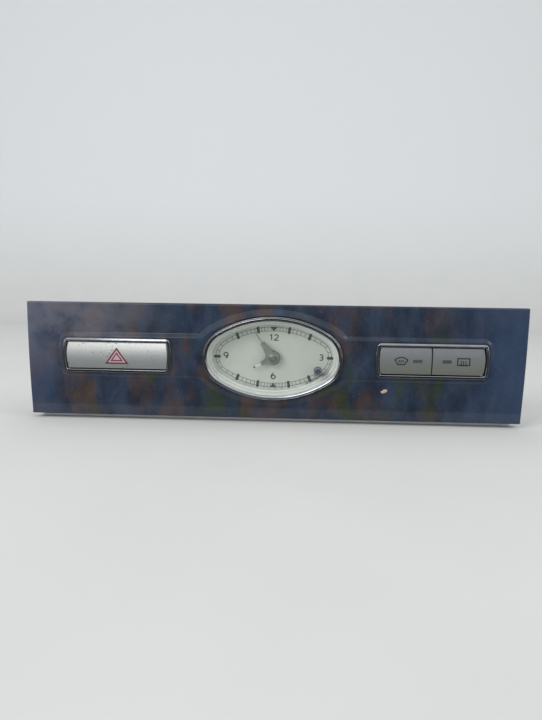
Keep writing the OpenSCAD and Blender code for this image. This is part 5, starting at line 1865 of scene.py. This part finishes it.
@dataclass
class Hands:
    """The two hands with their hubs, the hour hand's pale needle and dot, and the cap over them."""

    hour_z: float = 4.0
    hour_at: float = -118.0
    hour_hub: float = 3.4
    hour_blade: tuple[Pair, ...] = ((0.0, 1.6), (6.0, 1.0), (6.01, 0.2), (6.4, 0.2))
    minute_z: float = 5.2
    minute_at: float = -35.0
    minute_hub: float = 3.0
    minute_blade: tuple[Pair, ...] = ((0.0, 2.0), (8.6, 1.05), (8.61, 0.22), (14.2, 0.16))
    thick: float = 0.5
    trim: float = 0.16
    tip_trim: float = 0.05
    least_half: float = 0.03
    blade_wall: float = 0.6
    hub_wall: float = 0.7
    hub_edge: float = 0.2
    hub_flat: float = 0.6
    hub_shoulder: float = 0.02
    hub_rise: float = 0.03
    needle: Pair = (6.1, 9.3)
    needle_w: float = 0.42
    needle_low: float = 0.1
    needle_high: float = 0.4
    dot_at: float = 9.5
    dot_profile: tuple[Pair, ...] = ((0.45, 0.1), (0.45, 0.35), (0.3, 0.5), (0.0, 0.52))
    cap_profile: tuple[Pair, ...] = (
        (1.98, 0.0), (2.0, 0.1), (2.0, 0.34), (1.86, 0.46), (1.5, 0.5), (1.42, 0.64), (1.2, 0.76), (0.7, 0.8),
        (0.0, 0.8))

    def hand(self, blade: Sequence[Pair], hub: float, z: float, turn: float) -> Shape:
        """Builds a hand that points to a clock direction: a stepped hub and a blade with chamfered edges.

        Args:
            blade: Half widths at distances along the hand.
            hub: Radius of the hub.
            z: The hand's lowest level.
            turn: Clock direction in degrees.

        Returns:
            The shape.
        """
        ahead = towards(turn)
        side = np.array([ahead[1], -ahead[0]])
        top = z + self.thick
        thin = [(d - self.tip_trim, max(self.least_half, w - self.trim)) for d, w in blade]
        edge, face = [
            np.array([LINE + ahead * d + side * w for d, w in half[::-1]]
                     + [LINE + ahead * d - side * w for d, w in half]) for half in (blade, thin)]
        shape = Shape()
        wall = shape.loop(edge, z), shape.loop(edge, z + self.thick * self.blade_wall)
        shape.rings([*wall, shape.loop(face, top)])
        shape.lathe(LINE, [
            (hub, z), (hub, z + self.thick * self.hub_wall), (hub - self.hub_edge, top + self.hub_shoulder),
            (hub * self.hub_flat, top + self.hub_rise)])
        return shape

    def build(self) -> None:
        """Builds the hands, the needle, the dot and the cap."""
        minute = self.hand(self.minute_blade, self.minute_hub, self.minute_z, self.minute_at)
        place_piece(minute.object("minute_pointer"), HAND_PAINT, Part.MINUTE, "minute_hand")
        hour = self.hand(self.hour_blade, self.hour_hub, self.hour_z, self.hour_at)
        place_piece(hour.object("hour_pointer"), HAND_PAINT, Part.HOUR, "hour_hand")
        ahead = towards(self.hour_at)
        needle = Shape()
        for flat in stroke([LINE + ahead * d for d in self.needle], self.needle_w):
            needle.slab(flat, self.hour_z + self.needle_low, self.hour_z + self.needle_high)
        place_piece(needle.object("hour_needle"), PALE_HAND, Part.HOUR)
        dot = Shape()
        dot.lathe(LINE + ahead * self.dot_at, [(r, self.hour_z + z) for r, z in self.dot_profile], 20)
        place_piece(dot.object("hour_tip_dot"), DIAL_INK, Part.HOUR)
        cap = Shape()
        cap.lathe(LINE, [(r, self.minute_z + self.thick + z) for r, z in self.cap_profile])
        place_piece(cap.object("stepped_hand_cap"), CAP_PAINT, Part.MINUTE, "hand_cap")


@dataclass
class SetButton:
    """The button that sets the clock: a turned stem with a flange, and a dished head with a raised ring."""

    stem_r: float = 1.25
    flange_r: float = 1.85
    flange_back: float = -4.6
    flange_front: float = -3.8
    neck_r: float = 1.3
    head_back: float = 7.0
    head_r: float = 1.95
    dish_r: float = 0.45
    dish: float = 0.8
    ring: tuple[Pair, ...] = ((0.0, 0.4), (0.12, 0.14), (0.34, 0.0), (0.6, 0.0), (0.7, 0.12), (0.76, 0.7))

    def build(self) -> None:
        """Turns the button in its node's place."""
        low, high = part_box("set_button")
        top = part_z(low.y)
        shape = Shape()
        shape.lathe((SET_X, SET_Y), [
            (self.stem_r, part_z(high.y)), (self.stem_r, self.flange_back), (self.flange_r, self.flange_back),
            (self.flange_r, self.flange_front), (self.neck_r, self.flange_front),
            (self.neck_r, self.head_back), (self.head_r, self.head_back),
            *((self.head_r - inset, top - drop) for inset, drop in self.ring),
            (self.dish_r, top - self.dish), (0.0, top - self.dish)])
        place_piece(shape.object("dished_set_button", 45), SLATE, Part.SET, "set_button")


@dataclass
class Screws:
    """Pan head screws with a cross recess, seen from behind."""

    node: str
    head_r: float = 2.1
    head_h: float = 1.5
    flat_share: float = 0.72
    shank_r: float = 1.2
    tip_h: float = 0.4
    slot: float = 0.75
    slot_half: float = 1.3
    slot_depth: float = 0.8
    slot_clear: float = 1.02
    head_round: tuple[Pair, ...] = ((0.9, 0.18), (1.0, 0.55))
    taper: float = 0.6

    def places(self, frame: dict) -> list[tuple[float, float, float, float]]:
        """Finds each screw's axis, its head's back and its tip from the node's mesh.

        Args:
            frame: The loaded frame.

        Returns:
            For each screw its x, y, lowest z and highest z.
        """
        work = bmesh.new()
        work.from_mesh(frame["nodes"][self.node].data)
        bmesh.ops.remove_doubles(work, verts=work.verts, dist=1e-6)
        seen, found = set(), []
        for vert in work.verts:
            if vert in seen:
                continue
            island, queue = [], [vert]
            seen.add(vert)
            while queue:
                one = queue.pop()
                island.append(one.co.copy())
                fresh = {edge.other_vert(one) for edge in one.link_edges} - seen
                seen |= fresh
                queue += fresh
            low, high = np.min(island, 0), np.max(island, 0)
            middle = (low + high) / 2 / MM
            found.append((middle[0], middle[2], part_z(high[1]), part_z(low[1])))
        work.free()
        return found

    def build(self, frame: dict) -> None:
        """Builds all the screws of one node as one piece.

        Args:
            frame: The loaded frame.
        """
        shape, disc = Shape(), circle(40)
        w, h = self.slot / 2, self.slot_half
        quarter = np.array([(w, -w), (h, -w), (h, w)])
        turns = [np.array([(c, -s), (s, c)]) for c, s in ((1, 0), (0, 1), (-1, 0), (0, -1))]
        plus = np.concatenate([quarter @ turn.T for turn in turns])
        for x, y, back, tip in self.places(frame):
            spot, neck = np.array([x, y]), back + self.head_h
            top, holes = shape.patch(
                spot + disc * self.head_r * self.flat_share, [spot + plus], NO_POINTS, level(back),
                lambda px, py: (np.minimum(np.abs(px - x), np.abs(py - y)) > w)
                | (np.hypot(px - x, py - y) > h * self.slot_clear))
            deep = shape.loop(spot + plus * self.taper, back + self.slot_depth)
            shape.strip(holes[0], deep)
            shape.faces.append(tuple(deep))
            rings = [
                *((self.head_r * share, back + rise) for share, rise in self.head_round),
                (self.head_r, neck), (self.shank_r, neck), (self.shank_r, tip - self.tip_h),
                (self.shank_r * self.taper, tip),
            ]
            loops = [top] + [shape.loop(spot + disc * r, z) for r, z in rings]
            shape.join(loops)
            shape.faces.append(tuple(loops[-1]))
        place_piece(shape.object("cross_" + self.node, 40), ZINC, Part.PANEL, self.node)


@dataclass
class Workings:
    """Pieces of the frame that keep their shape and get a finish, with softened edges of a width."""

    finishes: tuple[tuple[Finish, float, tuple[str, ...]], ...] = (
        (CARRIER_ABS, 0.2, ("carrier_frame",)),
        (SPRING_STEEL, 0.0, ("spring_clips",)),
        (NYLON, 0.1, ("hazard_plunger",)),
        (BRASS_CONTACT, 0.0, ("hazard_contact_bridge",)),
        (BRASS_CONTACT, 0.08, ("hazard_terminals", "screen_terminals", "clock_terminals")),
        (BLACK_NYLON, 0.15, ("hazard_housing", "hazard_base", "screen_housing", "screen_base")),
        (LAMP_GLASS, 0.0, ("hazard_lamp", "screen_lamps", "lamps")),
        (SMOKED, 0.0, ("front_screen_indicator", "rear_screen_indicator")),
        (BOARD, 0.0, ("screen_board", "clock_board")),
        (EPOXY, 0.1, ("screen_micro_switches", "set_switch", "board_parts")),
        (DIAL_PAINT, 0.0, ("clock_dial",)),
        (CASE_ABS, 0.15, ("clock_case",)),
        (CASE_ABS, 0.2, ("rear_cover",)),
        (GUIDE, 0.0, ("light_guide",)),
        (BRASS, 0.0, (
            "front_plate", "back_plate", "minute_arbor", "hour_wheel", "motion_wheel", "third_wheel")),
        (MAGNET, 0.0, ("rotor", "stator")),
        (COPPER, 0.0, ("coil",)),
        (HOLDER, 0.15, ("lamp_holders",)),
        (SOCKET, 0.12, ("clock_socket",)),
    )
    soft_from: float = 50.0
    sharp_from: float = 32.0

    def dress(self, frame: dict) -> None:
        """Dresses every piece of the frame that is kept.

        Args:
            frame: The loaded frame.
        """
        for finish, bevel, nodes in self.finishes:
            for node in nodes:
                self.dress_node(frame["nodes"][node], finish, bevel)
                LOG.info("node %s in %s", node, finish.name)

    def dress_node(self, piece: bpy.types.Object, finish: Finish, bevel: float) -> None:
        """Gives a piece of the frame its finish and softens its edges.

        Args:
            piece: The piece.
            finish: Its finish.
            bevel: Width of the softened edges in millimetres, or 0 for none.
        """
        for slot in piece.material_slots:
            slot.material = finish.material()
        if not piece.material_slots:
            piece.data.materials.append(finish.material())
        weld = piece.modifiers.new("weld", "WELD")
        weld.merge_threshold = 1e-6
        if bevel:
            soft = piece.modifiers.new("soft_edges", "BEVEL")
            soft.width = bevel * MM
            soft.segments = 2
            soft.limit_method = "ANGLE"
            soft.angle_limit = math.radians(self.soft_from)
        split = piece.modifiers.new("crisp_corners", "EDGE_SPLIT")
        split.split_angle = math.radians(self.sharp_from)


# Studio


@dataclass(frozen=True)
class Lamp:
    """A soft rectangular light that faces the panel, in metres and watts."""

    name: str
    place: tuple[float, float, float]
    size: Pair
    power: float
    mirrored: bool = True
    lights: bool = True


@dataclass
class Studio:
    """Pale table and backdrop, soft lights and the camera, in metres where no unit is named."""

    focal_px: float = 541.0
    image_h_px: float = 720.0
    sensor_mm: float = 36.0
    tilt: float = 6.9
    swing: float = 2.5
    roll: float = 1.125
    place_mm: tuple[float, float, float] = (0.75, 1.07, 249.5)
    target_mm: tuple[float, float, float] = (0.0, 28.5, 6.0)
    table_front: float = -3.0
    table_back: float = 0.75
    cove: float = 0.25
    wall: float = 1.2
    table_half: float = 3.5
    flag_near: float = -0.03
    flag_far: float = -0.85
    flag_low: float = 0.002
    flag_high: float = 0.2
    flag_half: float = 0.7
    sky: str = "#F0F1F0"
    horizon: float = 0.46
    zenith: float = 1.0
    zenith_from: float = 0.9
    aim: tuple[float, float, float] = (0.0, 0.0, 0.03)
    lamps: tuple[Lamp, ...] = (
        Lamp("key", (-0.8, -0.8, 0.62), (0.6, 0.6), 7.4, mirrored=False),
        Lamp("right", (0.9, -0.3, 0.7), (0.5, 0.7), 2.4),
        Lamp("window", (-0.22, -0.82, 0.33), (0.3, 0.2), 0.7, lights=False),
        Lamp("low", (0.0, -1.2, 0.2), (1.6, 0.24), 3.2, mirrored=False),
    )

    def build_camera(self) -> None:
        """Sets the camera where the photograph was taken from."""
        turn = Matrix.Rotation(math.radians(self.roll), 3, "Z") \
            @ Matrix.Rotation(math.radians(self.swing), 3, "Y") \
            @ Matrix.Rotation(math.radians(self.tilt), 3, "X")
        to_part = Matrix(((1, 0, 0), (0, -1, 0), (0, 0, -1)))
        eye = Vector(self.target_mm) - to_part @ (turn.transposed() @ Vector(self.place_mm))
        right, down, ahead = (to_part @ turn[i] for i in range(3))
        view = Matrix([(a.x, -a.z, a.y) for a in (right, -down, -ahead)]).transposed().to_4x4()
        view.translation = row(eye)[0]
        data = bpy.data.cameras.new("camera")
        data.lens = self.focal_px / self.image_h_px * self.sensor_mm
        data.sensor_width = self.sensor_mm
        data.clip_start = 0.01
        camera = link("camera", data)
        camera.matrix_world = view
        bpy.context.scene.camera = camera

    def sheet(self, name: str, line: Sequence[Pair], half: float, finish: Finish) -> bpy.types.Object:
        """Builds a sheet of the stage that follows a line from front to back.

        Args:
            name: The sheet's name.
            line: Places along y and heights.
            half: Half its width.
            finish: Its finish.

        Returns:
            The sheet.
        """
        mesh = bpy.data.meshes.new(name)
        mesh.from_pydata(
            [(x, y, z) for y, z in line for x in (-half, half)], [],
            [(2 * i, 2 * i + 1, 2 * i + 3, 2 * i + 2) for i in range(len(line) - 1)])
        made = link(name, mesh)
        finish.dress(made)
        return made

    def build_table(self) -> None:
        """Builds the table that turns up into the backdrop."""
        line = [(self.table_front, 0.0), (self.table_back, 0.0)]
        line += [(self.table_back + self.cove * math.sin(t), self.cove * (1 - math.cos(t)))
                 for t in np.linspace(0.05, math.pi / 2, 16)]
        line.append((self.table_back + self.cove, self.wall))
        self.sheet("table", line, self.table_half, FLOOR).data.shade_smooth()

    def build_flag(self) -> None:
        """Hangs a dark cloth under and behind the camera, which only the gloss of the object mirrors."""
        line = [
            (self.flag_near, self.flag_low), (self.flag_far, self.flag_low), (self.flag_far, self.flag_high)]
        flag = self.sheet("flag", line, self.flag_half, FELT)
        flag.visible_camera = False
        flag.visible_diffuse = False
        flag.visible_shadow = False

    def build_world(self) -> None:
        """Sets a pale world that is brighter overhead."""
        world = bpy.data.worlds.new("studio")
        bpy.context.scene.world = world
        world.use_nodes = True
        tree = world.node_tree
        ahead = add_node(tree, "TexCoord").outputs["Generated"]
        rise = add_node(tree, "SeparateXYZ", {"Vector": ahead}).outputs["Z"]
        sky = add_node(tree, "MapRange", {
            "Value": rise, "From Max": self.zenith_from, "To Min": self.horizon, "To Max": self.zenith})
        ground = tree.nodes["Background"]
        ground.inputs["Color"].default_value = linear(self.sky)
        tree.links.new(sky.outputs["Result"], ground.inputs["Strength"])

    def build_lamps(self) -> None:
        """Sets a key light from the upper left, two fills and a small window that only the gloss mirrors."""
        for lamp in self.lamps:
            data = bpy.data.lights.new(lamp.name, "AREA")
            data.shape = "RECTANGLE"
            data.size, data.size_y = lamp.size
            data.energy = lamp.power
            light = link(lamp.name, data)
            light.location = lamp.place
            light.rotation_euler = (Vector(self.aim) - Vector(lamp.place)).to_track_quat("-Z", "Y").to_euler()
            light.visible_glossy = lamp.mirrored
            light.visible_diffuse = lamp.lights

    def build(self) -> None:
        """Builds the studio."""
        self.build_camera()
        self.build_table()
        self.build_flag()
        self.build_world()
        self.build_lamps()
        bpy.context.scene.view_settings.view_transform = "Standard"


def main() -> None:
    """Builds every sub-assembly in order."""
    logging.basicConfig(level=logging.INFO, format="%(message)s")
    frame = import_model()
    Studio().build()
    Fascia().build()
    hazard, screen = Switch(-SWITCH_X), Switch(SWITCH_X)
    hazard.build_frame("chrome_hazard_frame", "hazard_bezel")
    screen.build_frame("chrome_screen_frame", "screen_bezel")
    Cap(hazard, Side.WHOLE).build("hazard_cap", "hazard_button", SILVER, Part.HAZARD)
    Cap(screen, Side.LEFT).build("front_screen_cap", "front_screen_button", GREY_SILVER, Part.FRONT_SCREEN)
    Cap(screen, Side.RIGHT).build("rear_screen_cap", "rear_screen_button", GREY_SILVER, Part.REAR_SCREEN)
    Signs().build(hazard, screen)
    Coil("hazard_spring", "hazard_press", travel=2.5, wire=0.6, turns=6).build()
    Coil("front_screen_spring", "front_screen_press", travel=2.0, wire=0.5, turns=4).build()
    Coil("rear_screen_spring", "rear_screen_press", travel=2.0, wire=0.5, turns=4).build()
    Coil("set_spring", "set_press", travel=1.2, wire=0.3, turns=4).build()
    ClockFront().build()
    DialPrint().build()
    Hands().build()
    SetButton().build()
    for node in ("carrier_screws", "hazard_screws", "screen_screws", "clock_screws", "cover_screws"):
        Screws(node).build(frame)
    Workings().dress(frame)


if __name__ == "__main__":
    main()
